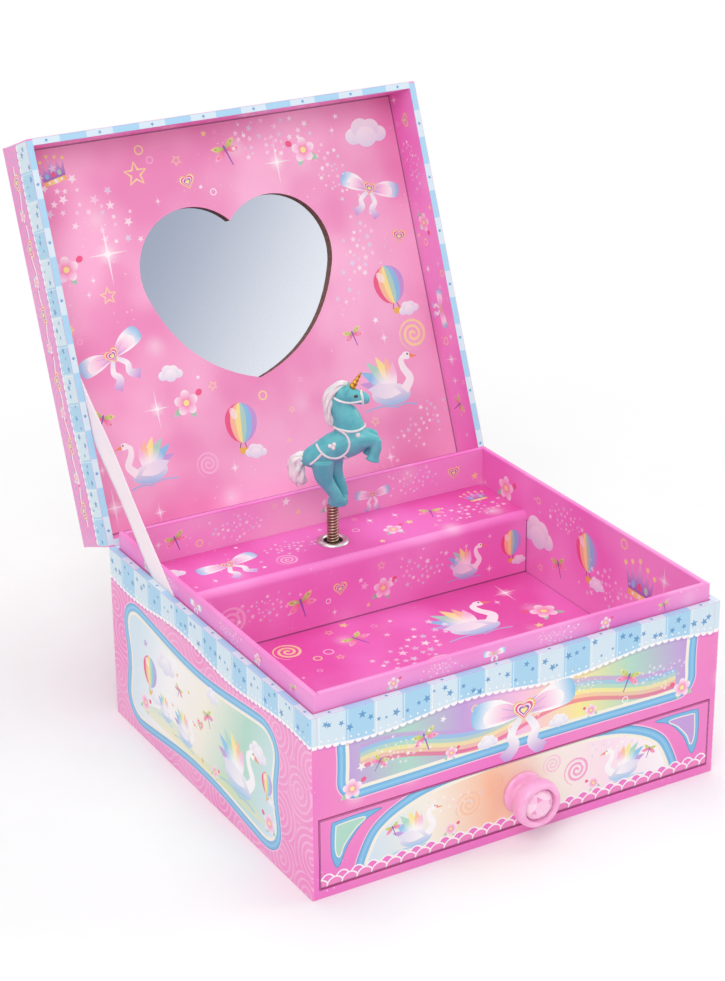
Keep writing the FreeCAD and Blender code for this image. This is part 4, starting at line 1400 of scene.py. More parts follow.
@dataclass(frozen=True)
class TrimBand:
    """Striped band with stars, a row of dots and a scalloped lace edge that swings along a rim."""

    depth: float = 10.0
    stripe: float = 10.5
    wave: float = 1.5
    swing: float = 75.0
    scallop: float = 2.7
    lace: float = 1.3
    star: float = 1.4

    def stripes(self, low: float, high: float) -> list[tuple[float, float, Ink]]:
        """Start, end and ink of each stripe between two places.

        Args:
            low: where they begin.
            high: where they end.

        Returns:
            The stripes.
        """
        count = max(2, round((high - low) / self.stripe))
        width = (high - low) / count
        return [(low + n * width, low + (n + 1) * width, (Ink.ICE, Ink.POWDER)[n % 2])
                for n in range(count)]

    def draw(self, sheet: PrintSheet, low: float, high: float, rim: float) -> None:
        """Draws the band below a rim.

        Args:
            sheet: where it goes.
            low: where the band starts.
            high: where it ends.
            rim: height of the rim on the sheet.
        """
        def edge(u: float) -> float:
            """Height of the band's lower edge."""
            return rim - self.depth - self.wave * sin(FULL_TURN * (u - low) / self.swing)

        draws = random.Random(sheet.name)
        count = round((high - low) / self.scallop)
        width = (high - low) / count
        middles = [low + (number + 0.5) * width for number in range(count)]
        shadow = [(u, edge(u) - self.lace) for u in (low, *middles, high)]
        sheet.stroke(shadow, 1.2, flat(Ink.VIOLET, 0.22))
        for u in middles:
            arc = [(u - width / 2 * cos(a), edge(u) - self.lace * sin(a))
                   for a in (pi * step / 5 for step in range(6))]
            sheet.draw([(u - width / 2, edge(u) + 1), *arc, (u + width / 2, edge(u) + 1)],
                       flat(Ink.WHITE))
        for left, right, ink in self.stripes(low, high):
            lower = [left + (right - left) * step / 4 for step in range(5)]
            sheet.draw([(right, rim), (left, rim), *((u, edge(u)) for u in lower)], flat(ink))
            sheet.stroke([(left + 0.8, rim), (left + 0.8, edge(left + 0.8))], 0.3,
                         flat(Ink.WHITE, 0.6))
            for share in (0.2, 0.5, 0.8):
                u = left + (right - left) * (share + draws.uniform(-0.1, 0.1))
                v = rim - self.depth * draws.uniform(0.15, 0.75)
                size, turn = self.star * draws.uniform(0.45, 1.2), draws.uniform(0, 72)
                Stamp(sheet, u, v, size, turn, ink=Ink.BLUE).star()
        for u in middles:
            sheet.draw(oval(u, edge(u) + 1.3, 0.36, 0.36, count=8), flat(Ink.WHITE))

    def edge(self, name: str, plane: Plane, low: Point, high: Point, body: str) -> None:
        """Prints a narrow edge with the band's stripes, and a star on each pale one.

        Args:
            name: the sheet's name.
            plane: where it lies.
            low: its lower corner.
            high: its upper corner.
            body: the body that carries it.
        """
        sheet = PrintSheet(name, plane, rectangle(*low, *high), PLAIN_PINK)
        along = 0 if high[0] - low[0] > high[1] - low[1] else 1
        for start, end, ink in self.stripes(low[along], high[along]):
            first, last = list(low), list(high)
            first[along], last[along] = start, end
            sheet.draw(rectangle(*first, *last), flat(ink))
            if ink is Ink.ICE:
                Stamp(sheet, (first[0] + last[0]) / 2, (first[1] + last[1]) / 2, 0.85,
                      3 * start, ink=Ink.BLUE).star()
        sheet.build(body, "outer_print")


@dataclass(frozen=True)
class Cartouche:
    """Blue-edged panel with a pale painted field."""

    border: float = 4.0
    grid: float = 5.0

    def draw(self, sheet: PrintSheet, outline: Sequence[Point], field_shade: Shade) -> None:
        """Draws the frame and its field.

        Args:
            sheet: where it goes.
            outline: the outer edge.
            field_shade: colours of the field.
        """
        edges = ((-0.5, Ink.PALE_PINK), (0.0, Ink.BLUE), (0.3, Ink.AZURE),
                 (self.border * 0.25, Ink.SKY), (self.border * 0.5, Ink.AZURE),
                 (self.border * 0.75, Ink.CREAM))
        for depth, ink in edges:
            sheet.draw(inset(outline, depth), flat(ink))
        inner = inset(outline, self.border + 0.3)
        sheet.draw(inner, field_shade)
        sheet.mesh_grid(tuple(map(min, zip(*inner))), tuple(map(max, zip(*inner))), self.grid)

    @staticmethod
    def panel(u: float, v: float, half_wide: float, half_tall: float, corner: float,
              swell: float) -> list[Point]:
        """Rounded rectangle whose sides swing in and out a little.

        Args:
            u: place of its middle across.
            v: place of its middle upwards.
            half_wide: half its width.
            half_tall: half its height.
            corner: radius of its corners.
            swell: how far its sides swing.

        Returns:
            Its outline.
        """
        outline, steps = [], 8
        for quarter in range(4):
            side, rise = (1, -1, -1, 1)[quarter], (1, 1, -1, -1)[quarter]
            for step in range(steps + 1):
                angle = pi / 2 * (quarter + step / steps)
                outline.append((side * (half_wide - corner) + corner * cos(angle),
                                rise * (half_tall - corner) + corner * sin(angle)))
        full = []
        for here, after in zip(outline, [*outline[1:], outline[0]]):
            count = max(1, int(dist(here, after) / 4))
            full.extend(tuple(Vector(here).lerp(Vector(after), step / count))
                        for step in range(count))
        return [(u + x - swell * cos(pi * y / half_tall) * x / half_wide,
                 v + y - swell * cos(pi * x / half_wide) * y / half_tall) for x, y in full]


def board_size(node: str) -> tuple[Vector, Vector]:
    """Lowest and highest corner of a node in millimetres."""
    low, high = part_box(node)
    return low / MM, high / MM


def dress(nodes: Sequence[str], material: Material) -> None:
    """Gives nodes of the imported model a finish.

    Args:
        nodes: their names.
        material: the finish.
    """
    for name in nodes:
        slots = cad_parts[name].data.materials
        slots.clear()
        slots.append(material)
        log.info("%s is dressed in %s", name, material.name)


def rainbow(sheet: PrintSheet, reach: int, base: float, band: float, rise: float,
            length: float) -> None:
    """Draws a waving ribbon of the rainbow's colours.

    Args:
        sheet: where it goes.
        reach: how far it runs to each side.
        base: height of its lowest band.
        band: width of one band.
        rise: how far it waves.
        length: length of a wave, over a full turn.
    """
    for number, ink in enumerate(RAINBOW):
        path = [(u, base + band * number + rise * sin(u / length))
                for u in range(-reach, reach + 1, 2)]
        sheet.stroke(path, 1.03 * band, flat(ink, 0.75))


@dataclass
class CaseShell:
    """Outer boards of the case with their printed paper."""

    width: float = BOX_WIDTH
    depth: float = BOX_DEPTH
    rim: float = RIM
    wall: float = BOARD
    corner: float = 0.6
    key_hole: Triple = (0, 19, 3.8)
    screw_holes: tuple[Triple, ...] = ((21, 10, 3.4), (-21, 45, 3.4))
    trim: TrimBand = field(default_factory=TrimBand)
    frame_panel: Cartouche = field(default_factory=Cartouche)

    def dress(self) -> None:
        """Papers the boards themselves."""
        dress(["left_wall", "right_wall"], OUTER_SIDE.build(printed=False))
        dress(["back_wall", "front_panel", "base_board"], OUTER_FRONT.build(printed=False))

    def side(self, name: str, sign: float) -> None:
        """Prints a side wall: band, panel and a lake scene.

        Args:
            name: the sheet's name.
            sign: -1 for the left wall, 1 for the right one.
        """
        flat_half = self.depth / 2 - self.corner
        end = flat_half + self.corner * pi / 2
        plane = Plane((sign * self.width / 2, 0, 0), (0, sign, 0), UP, flat_half, self.corner)
        sheet = PrintSheet(name, plane, rectangle(-end, PRINT_LIFT, end, self.rim), OUTER_SIDE)
        for step in range(5):
            u = flat_half + self.corner * pi / 8 * step
            sheet.guide([(u, 0), (u, self.rim)])
            sheet.guide([(-u, 0), (-u, self.rim)])
        shade = ramp((-50, 46), (44, 8), (Ink.ICE, Ink.WHITE, Ink.CREAM, Ink.MINT, Ink.ICE))
        self.frame_panel.draw(sheet, Cartouche.panel(5 * sign, 28, 58.5, 22.5, 15, 2.4), shade)
        hill = curve([(-52, 13), (-30, 19), (-6, 14), (20, 18), (46, 12)], 6)
        sheet.draw([*hill, (45, 11.5), (0, 10.6), (-50, 11.5)],
                   ramp((0, 20), (0, 9), (Ink.MINT, Ink.LEMON), 0.55))
        press(sheet, {
            Motif.CLOUD: [(-30, 39, 7), (38, 37, 6), (6, 43, 4.5)],
            Motif.SWAN: [(24, 25, 14.5), (-16, 20, 8.5), (-31, 21, 6.5)],
            Motif.BALLOON: [(-43, 28, 8), (44, 27, 5.5)],
            Motif.DRAGONFLY: [(2, 33, 4.2, 24), (-20, 33, 3.2, -20)],
            Motif.FLOWER: [(-48, 15.5, 4.2), (45, 14, 4.4, 0, True), (6, 14, 3.0)],
            Motif.HEART: [(-4, 27, 2.6)],
        }, Scatter((-50, 13), (46, 42), 60, 11, (Ink.SKY, Ink.LILAC, Ink.GOLD)))
        self.trim.draw(sheet, -end, end, self.rim)
        sheet.build("case", "outer_print")

    def front(self) -> None:
        """Prints the panel above the drawer: band, framed field, waving ribbon and a large bow."""
        low, high = board_size("front_panel")
        half, bottom, top = high.x - HEM, low.z + 4.2, self.rim - 4
        middle = (bottom + self.rim - self.trim.depth) / 2
        sheet = PrintSheet("front_panel_print", Plane((0, low.y, 0), ACROSS, UP),
                           rectangle(-half, low.z + HEM, half, self.rim), OUTER_FRONT)
        outline = Cartouche.panel(0, (bottom + top) / 2, 70.5, (top - bottom) / 2, 8, 0.3)
        colours = (Ink.LILAC, Ink.MINT, Ink.LILAC, Ink.PALE_PINK, Ink.LEMON, Ink.MINT, Ink.LILAC)
        self.frame_panel.draw(sheet, outline, ramp((-66, 34), (66, 46), colours))
        rainbow(sheet, 62, middle - 3.5, 1.5, 3.2, 11.5)
        press(sheet, {
            Motif.DRAGONFLY: [(-38, middle + 2.5, 5, 18), (42, middle + 2, 5.2, -22),
                              (-55, middle - 1, 3.6, -30)],
            Motif.FLOWER: [(-65, bottom + 3.6, 4.4), (65, bottom + 3.6, 4.4, 0, True),
                           (-28, bottom + 5.6, 2.8), (27, bottom + 5.6, 2.8, 0, True)],
            Motif.DUST: [(54, middle, 10), (-47, middle + 1, 10), (22, middle + 4, 8)],
            Motif.CLOUD: [(-14, bottom + 5.6, 4), (14, bottom + 5.6, 4)],
        }, Scatter((-62, bottom + 5), (62, self.rim - 13), 50, 23, (Ink.WHITE, Ink.LEMON)))
        self.trim.draw(sheet, -half, half, self.rim)
        press(sheet, {Motif.BOW: [(0, middle + 1.5, 16)]})
        sheet.build("case", "outer_print")

    def back(self) -> None:
        """Prints the back wall: band and sprigs on a plain ground, open round key and screws."""
        _, high = board_size("back_wall")
        half = high.x - HEM
        sheet = PrintSheet("back_wall_print", Plane((0, high.y, 0), (-1, 0, 0), UP),
                           rectangle(-half, HEM, half, self.rim), OUTER_FRONT)
        self.trim.draw(sheet, -half, half, self.rim)
        press(sheet, {
            Motif.FLOWER: [(-55, 24, 8), (55, 24, 8, 0, True)],
            Motif.BOW: [(0, 40, 10)],
            Motif.DRAGONFLY: [(-38, 38, 5, 20), (40, 36, 5, -20)],
            Motif.HEART: [(-66, 42, 4), (66, 42, 4)],
        }, Scatter((-72, 5), (72, 48), 60, 31), [(*self.key_hole[:2], 14), *self.screw_holes])
        for x, z, radius in (self.key_hole, *self.screw_holes):
            sheet.cut(oval(x, z, radius, radius, count=24))
        sheet.build("case", "outer_print")

    def rims(self) -> None:
        """Prints the walls' upper edges, and their ends beside the drawer and the back."""
        half_x, half_y, thick = self.width / 2, self.depth / 2, self.wall / 2
        inner, reach = half_x - self.wall - HEM, thick - HEM
        for side, sign in (("left", -1), ("right", 1)):
            plane = Plane((sign * (half_x - thick), 0, self.rim), ACROSS, BACK)
            self.trim.edge(f"{side}_rim_print", plane, (-reach, EDGE_HEM - half_y),
                           (reach, half_y - EDGE_HEM), "case")
            for face, way in (("front", 1), ("back", -1)):
                plane = Plane((sign * (half_x - thick), -way * half_y, 0), (way, 0, 0), UP)
                ends = sorted((sign * way * (PRINT_LIFT - thick),
                               sign * way * (thick - self.corner)))
                sheet = PrintSheet(f"{side}_edge_print_{face}", plane,
                                   rectangle(ends[0], HEM, ends[1], self.rim), OUTER_FRONT)
                lace = self.rim - self.trim.depth
                sheet.draw(rectangle(ends[0], lace, ends[1], self.rim), flat(Ink.ICE))
                sheet.draw(rectangle(ends[0], lace - self.trim.lace, ends[1], lace),
                           flat(Ink.WHITE))
                sheet.build("case", "outer_print")
        for name, way in (("front", -1), ("back", 1)):
            plane = Plane((0, way * (half_y - thick), self.rim), ACROSS, BACK)
            self.trim.edge(f"{name}_rim_print", plane, (-inner, -reach), (inner, reach), "case")

    def build(self) -> None:
        """Makes every sheet of the case."""
        self.dress()
        self.side("left_wall_print", -1)
        self.side("right_wall_print", 1)
        self.front()
        self.back()
        self.rims()


@dataclass
class TrayInside:
    """Tray floor, step and neck boards with their hot pink paper."""

    rim: float = RIM
    neck_top: float = 71.8
    tray_top: float = 33.0
    fold: float = 3.0
    eyelet: Triple = (*SPRING_PLACE, 5.6)

    def dress(self) -> None:
        """Papers the boards themselves."""
        dress(["step_cover", "neck_left", "neck_right", "neck_front", "neck_back"],
              TRAY_PAPER.build(printed=False))
        dress(["tray_floor"], FLOOR_AND_SHADED_STEP_PAPER.build(printed=False))
        dress(["bay_back_board"], Greyboard("bay_board", Ink.BROWN, Ink.PEACH).build())

    def floor(self) -> None:
        """Prints the tray floor."""
        low, high = board_size("neck_left")
        half, front, back = -high.x - HEM, low.y + 2 + HEM, board_size("step_cover")[0].y - HEM
        sheet = PrintSheet("tray_floor_print", Plane((0, 0, self.tray_top), ACROSS, BACK),
                           rectangle(-half, front, half, back), FLOOR_AND_SHADED_STEP_PAPER)
        press(sheet, {
            Motif.BOW: [(-34, -16, 20, -8)], Motif.SWAN: [(34, 14, 15)],
            Motif.BALLOON: [(60, -26, 11, 12), (-60, 22, 10, -10)],
            Motif.DRAGONFLY: [(-8, 22, 6, 24), (18, -34, 6, -18)],
            Motif.FLOWER: [(-62, -46, 8), (62, 6, 6.5, 0, True)],
            Motif.SPIRAL: [(10, -12, 9, 0, False, Ink.PALE_PINK),
                           (-34, 26, 6, 0, False, Ink.LEMON)],
            Motif.DUST: [(4, 4, 20, 30), (44, -46, 20), (-50, -2, 18, 70)],
            Motif.CROWN: [(-20, -50, 8)], Motif.SPARKLE: [(-10, -30, 7), (58, 26, 6)],
        }, Scatter((-72, -64), (72, 34), 110, 5))
        # Painted shade of the gaps round the floor.
        painted_gap_shade(sheet, (-half, front), (half, back))
        sheet.build("case", "tray_print")

    def step(self) -> None:
        """Prints the step's front and top."""
        low, high = board_size("step_cover")
        half, foot = high.x - HEM, low.z + HEM
        sheet = PrintSheet("step_front_print", Plane((0, low.y, 0), ACROSS, UP),
                           rectangle(-half, foot, half, high.z - self.fold), TRAY_PAPER)
        press(sheet, {
            Motif.DRAGONFLY: [(-22, 44, 6, 16)], Motif.FLOWER: [(12, 42, 5)],
            Motif.SWAN: [(48, 43.5, 8.5)],
            Motif.SPIRAL: [(-50, 44, 6.5, 0, False, Ink.PALE_PINK)],
            Motif.DUST: [(-36, 46, 11), (28, 45, 13)],
            Motif.BALLOON: [(68, 45, 7)], Motif.HEART: [(-6, 46, 3.2)], Motif.CLOUD: [(-66, 47, 6)],
        }, Scatter((-72, 36), (72, 53), 60, 8))
        # Painted shade of the gaps round the step's front.
        painted_gap_shade(sheet, (-half, foot), (half, high.z - self.fold + 0.5), 0.9)
        sheet.build("case", "tray_print")
        back = board_size("neck_back")[0].y - HEM
        # The step top takes the darker floor paper: painted shade on the face that looks up to the
        # lamps.
        sheet = PrintSheet("step_top_print", Plane((0, 0, high.z), ACROSS, BACK),
                           rectangle(-half, low.y + self.fold, half, back), FLOOR_AND_SHADED_STEP_PAPER)
        x, y, radius = self.eyelet
        press(sheet, {
            Motif.BOW: [(-42, 54, 10, 10)], Motif.FLOWER: [(24, 50, 4.6)],
            Motif.DRAGONFLY: [(44, 56, 5, -20)],
            Motif.DUST: [(-16, 56, 11), (58, 50, 13)], Motif.CLOUD: [(-64, 58, 6)],
            Motif.SPIRAL: [(-22, 47, 4.5, 0, False, Ink.PALE_PINK)], Motif.CROWN: [(66, 60, 5)],
        }, Scatter((-72, 43), (72, 66), 60, 9), [(x, y, radius + 2.4)])
        sheet.cut(oval(x, y, radius, radius, count=32))
        sheet.build("case", "tray_print")

    def necks(self) -> None:
        """Prints the neck boards: the whole inside, and the outside above the rim."""
        low, high = board_size("neck_right")
        front_low, front_high = board_size("neck_front")
        back_low, _ = board_size("neck_back")
        long, wide, top = (high.y - low.y) / 2 - HEM, front_high.x - HEM, self.neck_top
        tray, step = self.tray_top + HEM, board_size("step_cover")[1].z + HEM
        side = {
            Motif.CROWN: [(34, 58, 9)], Motif.CLOUD: [(-30, 52, 10)],
            Motif.BALLOON: [(2, 54, 10, 8)],
            Motif.DUST: [(16, 48, 14), (-14, 64, 12)], Motif.FLOWER: [(-52, 62, 6)],
            Motif.BOW: [(56, 46, 8, -12)],
            Motif.DRAGONFLY: [(-16, 44, 5, 20)], Motif.SPARKLE: [(48, 64, 5)],
            Motif.SPIRAL: [(-46, 46, 6, 0, False, Ink.PALE_PINK)],
        }
        end = {
            Motif.DUST: [(-30, 65, 10), (44, 66, 10)], Motif.FLOWER: [(8, 65, 4.5)],
            Motif.BOW: [(26, 64, 6)],
            Motif.DRAGONFLY: [(-56, 65, 4.5, 20)], Motif.HEART: [(62, 65, 3)],
        }
        outside = {
            Motif.FLOWER: [(-48, 68.6, 2.6), (34, 68.6, 2.6)], Motif.BOW: [(-10, 68.8, 3.4)],
            Motif.DUST: [(14, 69, 6), (-30, 69, 6)], Motif.DRAGONFLY: [(58, 68.8, 2.5, 15)],
        }
        faces = {
            "neck_left_inner_print": ((-low.x, 0), (0, 1), long - 2, tray, side),
            "neck_right_inner_print": ((low.x, 0), (0, -1), long - 2, tray, side),
            "neck_front_inner_print": ((0, front_high.y), (-1, 0), wide, tray, end),
            "neck_back_inner_print": ((0, back_low.y), (1, 0), wide, step, end),
            "neck_left_outer_print": ((-high.x, 0), (0, -1), long, self.rim, outside),
            "neck_right_outer_print": ((high.x, 0), (0, 1), long, self.rim, outside),
            "neck_front_outer_print": ((0, front_low.y), (1, 0), wide, self.rim, outside),
        }
        for name, (place, across, reach, bottom, scene) in faces.items():
            # The back neck's inside, which starts at the step, takes the lighter copy: painted
            # light.
            sheet = PrintSheet(name, Plane((*place, 0), (*across, 0), UP),
                               rectangle(-reach, bottom, reach, top),
                               LIT_TRAY_PAPER if bottom == step else TRAY_PAPER)
            area = (2 - reach, bottom + 3), (reach - 2, top - 1.8)
            press(sheet, scene, None if scene is outside else Scatter(*area, 70, 14))
            sheet.build("case", "lining_print")

    def build(self) -> None:
        """Makes every sheet of the tray."""
        self.dress()
        self.floor()
        self.step()
        self.necks()


@dataclass
class LidShell:
    """Lid boards, heart-windowed lining and mirror, printed where the lid stands open."""

    width: float = BOX_WIDTH
    length: float = BOX_DEPTH
    height: float = 24.5
    wall: float = BOARD
    corner: float = 0.6
    gap: float = 0.3
    lining: float = 17.0
    hinge: tuple[float, float] = HINGE
    angle: float = LID_ANGLE
    lobe_x: float = 17.0
    lobe_v: float = 91.9
    lobe_radius: float = 23.0
    lobe_end: float = 20.0
    lobe_steps: int = 28
    tip_v: float = 47.6
    bulge: float = 4.9
    side_steps: int = 12
    cord_v: float = -16.6
    trim: TrimBand = field(default_factory=lambda: TrimBand(depth=9.5, wave=0.8))
    frame_panel: Cartouche = field(default_factory=Cartouche)

    @property
    def away(self) -> Triple:
        """The way along the lid from its hinge."""
        return (0, -cos(radians(self.angle)), sin(radians(self.angle)))

    @property
    def rimward(self) -> Triple:
        """The way from the lid's top board to its rim."""
        return (0, -sin(radians(self.angle)), -cos(radians(self.angle)))

    def point(self, x: float, v: float, w: float) -> Triple:
        """A point of the lid from its place on the shut lid."""
        return tuple(Vector((x, *self.hinge)) + v * Vector(self.away) - w * Vector(self.rimward))

    def dress(self) -> None:
        """Papers the boards themselves."""
        dress(["lid_board"], LID_TOP.build(printed=False))
        dress(["lid_left_wall", "lid_right_wall"], LID_SIDE.build(printed=False))
        dress(["lid_front_wall", "lid_back_wall"], LID_END.build(printed=False))
        dress(["lid_lining"], Greyboard("lining_edge", Ink.BROWN, Ink.UMBER).build())
        dress(["mirror_spacer", "mirror_backing"],
              Greyboard("hidden_board", Ink.CREAM, Ink.PEACH).build())
        dress(["heart_mirror"], Silvering("silvered_sheet").build())

    def heart(self) -> list[Point]:
        """Works out the window in the lining.

        Returns:
            Its outline: two round lobes and two bulging sides that meet in the tip.
        """
        lobe, tip = Vector((self.lobe_x, self.lobe_v)), Vector((0, self.tip_v))
        start, end = acos(-self.lobe_x / self.lobe_radius), -radians(self.lobe_end)
        angles = [start + (end - start) * step / self.lobe_steps
                  for step in range(self.lobe_steps + 1)]
        right = [lobe + self.lobe_radius * Vector((cos(angle), sin(angle))) for angle in angles]
        join, swell, steps = right[-1], Vector((self.bulge, -self.bulge)), self.side_steps
        right += [join.lerp(tip, step / steps) + swell * (4 * step / steps * (1 - step / steps))
                  for step in range(1, steps + 1)]
        return [*map(tuple, right), *((-u, v) for u, v in right[-2:0:-1])]

    def inside(self) -> None:
        """Prints the lining, and leaves its window open."""
        half, low = self.width / 2 - self.wall - HEM, self.wall + HEM
        high = self.length - self.wall - HEM
        plane = Plane(self.point(0, 0, self.lining), ACROSS, self.away)
        sheet = PrintSheet("lid_lining_print", plane, rectangle(-half, low, half, high),
                           LINING_PAPER)
        window = [(self.lobe_x, self.lobe_v, 25), (-self.lobe_x, self.lobe_v, 25),
                  (0, 72, 25), (0, 58, 10), (28, 30, 13)]
        press(sheet, {
            Motif.SWAN: [(54, 36, 13), (-52, 26, 11, 0, True)],
            Motif.BOW: [(-57, 66, 11, 24), (61, 110, 10, -20)],
            Motif.BALLOON: [(62, 70, 10, 8), (-12, 30, 10, -6)], Motif.CROWN: [(-66, 136, 6, 12)],
            Motif.FLOWER: [(-32, 44, 6), (36, 129, 6, 0, True), (-68, 100, 6)],
            Motif.DRAGONFLY: [(4, 133, 6, 20), (-66, 44, 5, -24), (42, 56, 4.5, 14)],
            Motif.DUST: [(-56, 122, 20, -38), (52, 88, 15, 60), (20, 136, 15), (66, 18, 12, 30),
                         (46, 120, 12, -60)],
            Motif.SPIRAL: [(68, 52, 6.5, 0, False, Ink.LEMON),
                           (-28, 20, 5, 0, False, Ink.PALE_PINK)],
            Motif.CLOUD: [(64, 132, 9), (-36, 56, 5)],
            Motif.OPEN_STAR: [(-34, 130, 4.5, 0, False, Ink.LEMON),
                              (-54, 88, 3.2, 0, False, Ink.LEMON)],
            Motif.SPARKLE: [(-51, 103, 9), (24, 126, 7), (-44, 44, 6), (-68, 12, 6)],
            Motif.HEART: [(-14, 124, 3.4, 10), (70, 90, 3.2, -10)],
        }, Scatter((-74, 6), (74, 141), 150, 3), window)
        # Painted shade of the gap between the lining and the lid walls.
        painted_gap_shade(sheet, (-half, low), (half, high), 0.9)
        sheet.cut(self.heart())
        sheet.build("lid", "lining_print")

    def walls(self) -> None:
        """Prints the lid's walls outside and inside."""
        half, middle = self.width / 2, self.length / 2
        hinge_way = tuple(-part for part in self.away)
        long, wide, edge = middle - self.wall - HEM, half - self.wall - HEM, middle - self.corner
        outer = {
            "lid_left_outer_print": (self.point(-half, middle, 0), hinge_way, edge,
                                     self.corner, LID_SIDE),
            "lid_right_outer_print": (self.point(half, middle, 0), self.away, edge,
                                      self.corner, LID_SIDE),
            "lid_front_outer_print": (self.point(0, self.length, 0), (-1, 0, 0), wide,
                                      self.wall, LID_END),
            "lid_back_outer_print": (self.point(0, 0, 0), ACROSS, wide, self.wall, LID_END),
        }
        for name, (place, across, reach, margin, paper) in outer.items():
            sheet = PrintSheet(name, Plane(place, across, self.rimward),
                               rectangle(-reach, margin - self.height, reach, -self.gap), paper)
            self.trim.draw(sheet, -reach, reach, -self.gap)
            cord = [(u, self.cord_v + 0.8 * sin(u / 2.4)) for u in range(-66, 67)]
            sheet.stroke(cord, 0.8, flat(Ink.WHITE, 0.9))
            sheet.stroke([(u, v - 0.9) for u, v in cord], 0.6, flat(Ink.ROSE, 0.8))
            press(sheet, {Motif.HEART: [(u, self.cord_v - 0.8, 3.6) for u in range(-60, 61, 24)],
                          Motif.FLOWER: [(u, self.cord_v - 1.0, 2.8) for u in range(-48, 49, 24)]})
            sheet.build("lid", "outer_print")
        inner = {
            "lid_left_inner_print": (self.point(self.wall - half, middle, 0), self.away, long),
            "lid_right_inner_print": (self.point(half - self.wall, middle, 0), hinge_way, long),
            "lid_front_inner_print": (self.point(0, self.length - self.wall, 0), ACROSS, wide),
            "lid_back_inner_print": (self.point(0, self.wall, 0), (-1, 0, 0), wide),
        }
        for name, (place, across, reach) in inner.items():
            sheet = PrintSheet(name, Plane(place, across, self.rimward),
                               rectangle(-reach, HEM - self.lining, reach, -self.gap), TRAY_PAPER)
            press(sheet, {
                Motif.DRAGONFLY: [(52, -9, 4.5, 20)], Motif.BOW: [(14, -9, 6)],
                Motif.FLOWER: [(-20, -9, 4.5)],
                Motif.DUST: [(-44, -9, 9)], Motif.SPARKLE: [(34, -8, 4)],
                Motif.HEART: [(-60, -9, 3)],
            }, Scatter((2 - reach, -15), (reach - 2, -2), 40, 21))
            sheet.build("lid", "lining_print")

    def rim(self) -> None:
        """Prints the striped edge that faces the case."""
        half, middle, wall, corner = self.width / 2, self.length / 2, self.wall, self.corner
        plane = Plane(self.point(0, middle, self.gap), ACROSS, self.away)
        strips = {
            "lid_left_rim_print": ((EDGE_HEM - half, corner - middle),
                                   (wall - half, middle - corner)),
            "lid_right_rim_print": ((half - wall, corner - middle),
                                    (half - EDGE_HEM, middle - corner)),
            "lid_front_rim_print": ((wall - half, middle - wall), (half - wall, middle - EDGE_HEM)),
            "lid_back_rim_print": ((wall - half, EDGE_HEM - middle), (half - wall, wall - middle)),
        }
        for name, (low, high) in strips.items():
            self.trim.edge(name, plane, low, high, "lid")

    def top(self) -> None:
        """Prints the outside of the top board: one large panel with a swan lake."""
        half, middle = self.width / 2 - self.corner, self.length / 2 - self.corner
        plane = Plane(self.point(0, self.length / 2, self.height), (-1, 0, 0), self.away)
        sheet = PrintSheet("lid_top_print", plane, rectangle(-half, -middle, half, middle), LID_TOP)
        colours = (Ink.ICE, Ink.WHITE, Ink.BLUSH, Ink.CREAM, Ink.MINT, Ink.ICE)
        shade = ramp((-40, 58), (36, -56), colours)
        self.frame_panel.draw(sheet, Cartouche.panel(0, 0, 66, 59, 26, 2.2), shade)
        hill = curve([(-58, -26), (-32, -14), (-4, -24), (26, -12), (58, -24)], 6)
        sheet.draw([*hill, (52, -44), (34, -53), (-34, -53), (-52, -44)],
                   ramp((0, -10), (0, -56), (Ink.MINT, Ink.LEMON, Ink.ICE), 0.7))
        rainbow(sheet, 56, 22, 2.6, 7, 22)
        press(sheet, {
            Motif.SWAN: [(14, -14, 30), (-38, -22, 14)],
            Motif.BALLOON: [(-44, 22, 13, -6), (48, 26, 10, 8)],
            Motif.CLOUD: [(-10, 46, 10), (34, 47, 7), (-54, 6, 7)],
            Motif.DRAGONFLY: [(-14, 14, 7, 20), (52, -4, 7, -24)],
            Motif.FLOWER: [(-46, -42, 8), (44, -42, 8, 0, True), (-14, -46, 6), (-66, -60, 8),
                           (66, -60, 8, 0, True)],
            Motif.BOW: [(0, 57, 12)], Motif.HEART: [(-68, 62, 5), (68, 62, 5)],
        }, Scatter((-52, -46), (52, 50), 80, 41, (Ink.SKY, Ink.LILAC, Ink.GOLD)))
        sheet.build("lid", "outer_print")

    def build(self) -> None:
        """Makes every sheet of the lid."""
        self.dress()
        self.inside()
        self.walls()
        self.rim()
        self.top()


def revolved(profile: Sequence[Point], place: Matrix,
             count: int = 48) -> tuple[list[Vector], list[list[int]]]:
    """Turns a profile round the Z axis and puts it in place.

    Args:
        profile: (radius, height) pairs; one at radius 0 closes an end.
        place: where the turned shape goes, in millimetres.
        count: steps round the axis.

    Returns:
        Points in metres and the faces between them.
    """
    points: list[Vector] = []
    rows: list[list[int]] = []
    for radius, height in profile:
        steps = 1 if radius == 0 else count
        rows.append(list(range(len(points), len(points) + steps)))
        for step in range(steps):
            angle = FULL_TURN * step / count
            spot = Vector((radius * cos(angle), radius * sin(angle), height))
            points.append(place @ spot * MM)
    faces = []
    for lower, upper in zip(rows, rows[1:]):
        for step in range(count):
            after = (step + 1) % count
            ring = [lower[step % len(lower)], lower[after % len(lower)], upper[after % len(upper)],
                    upper[step % len(upper)]]
            faces.append(list(dict.fromkeys(ring)))
    return points, faces


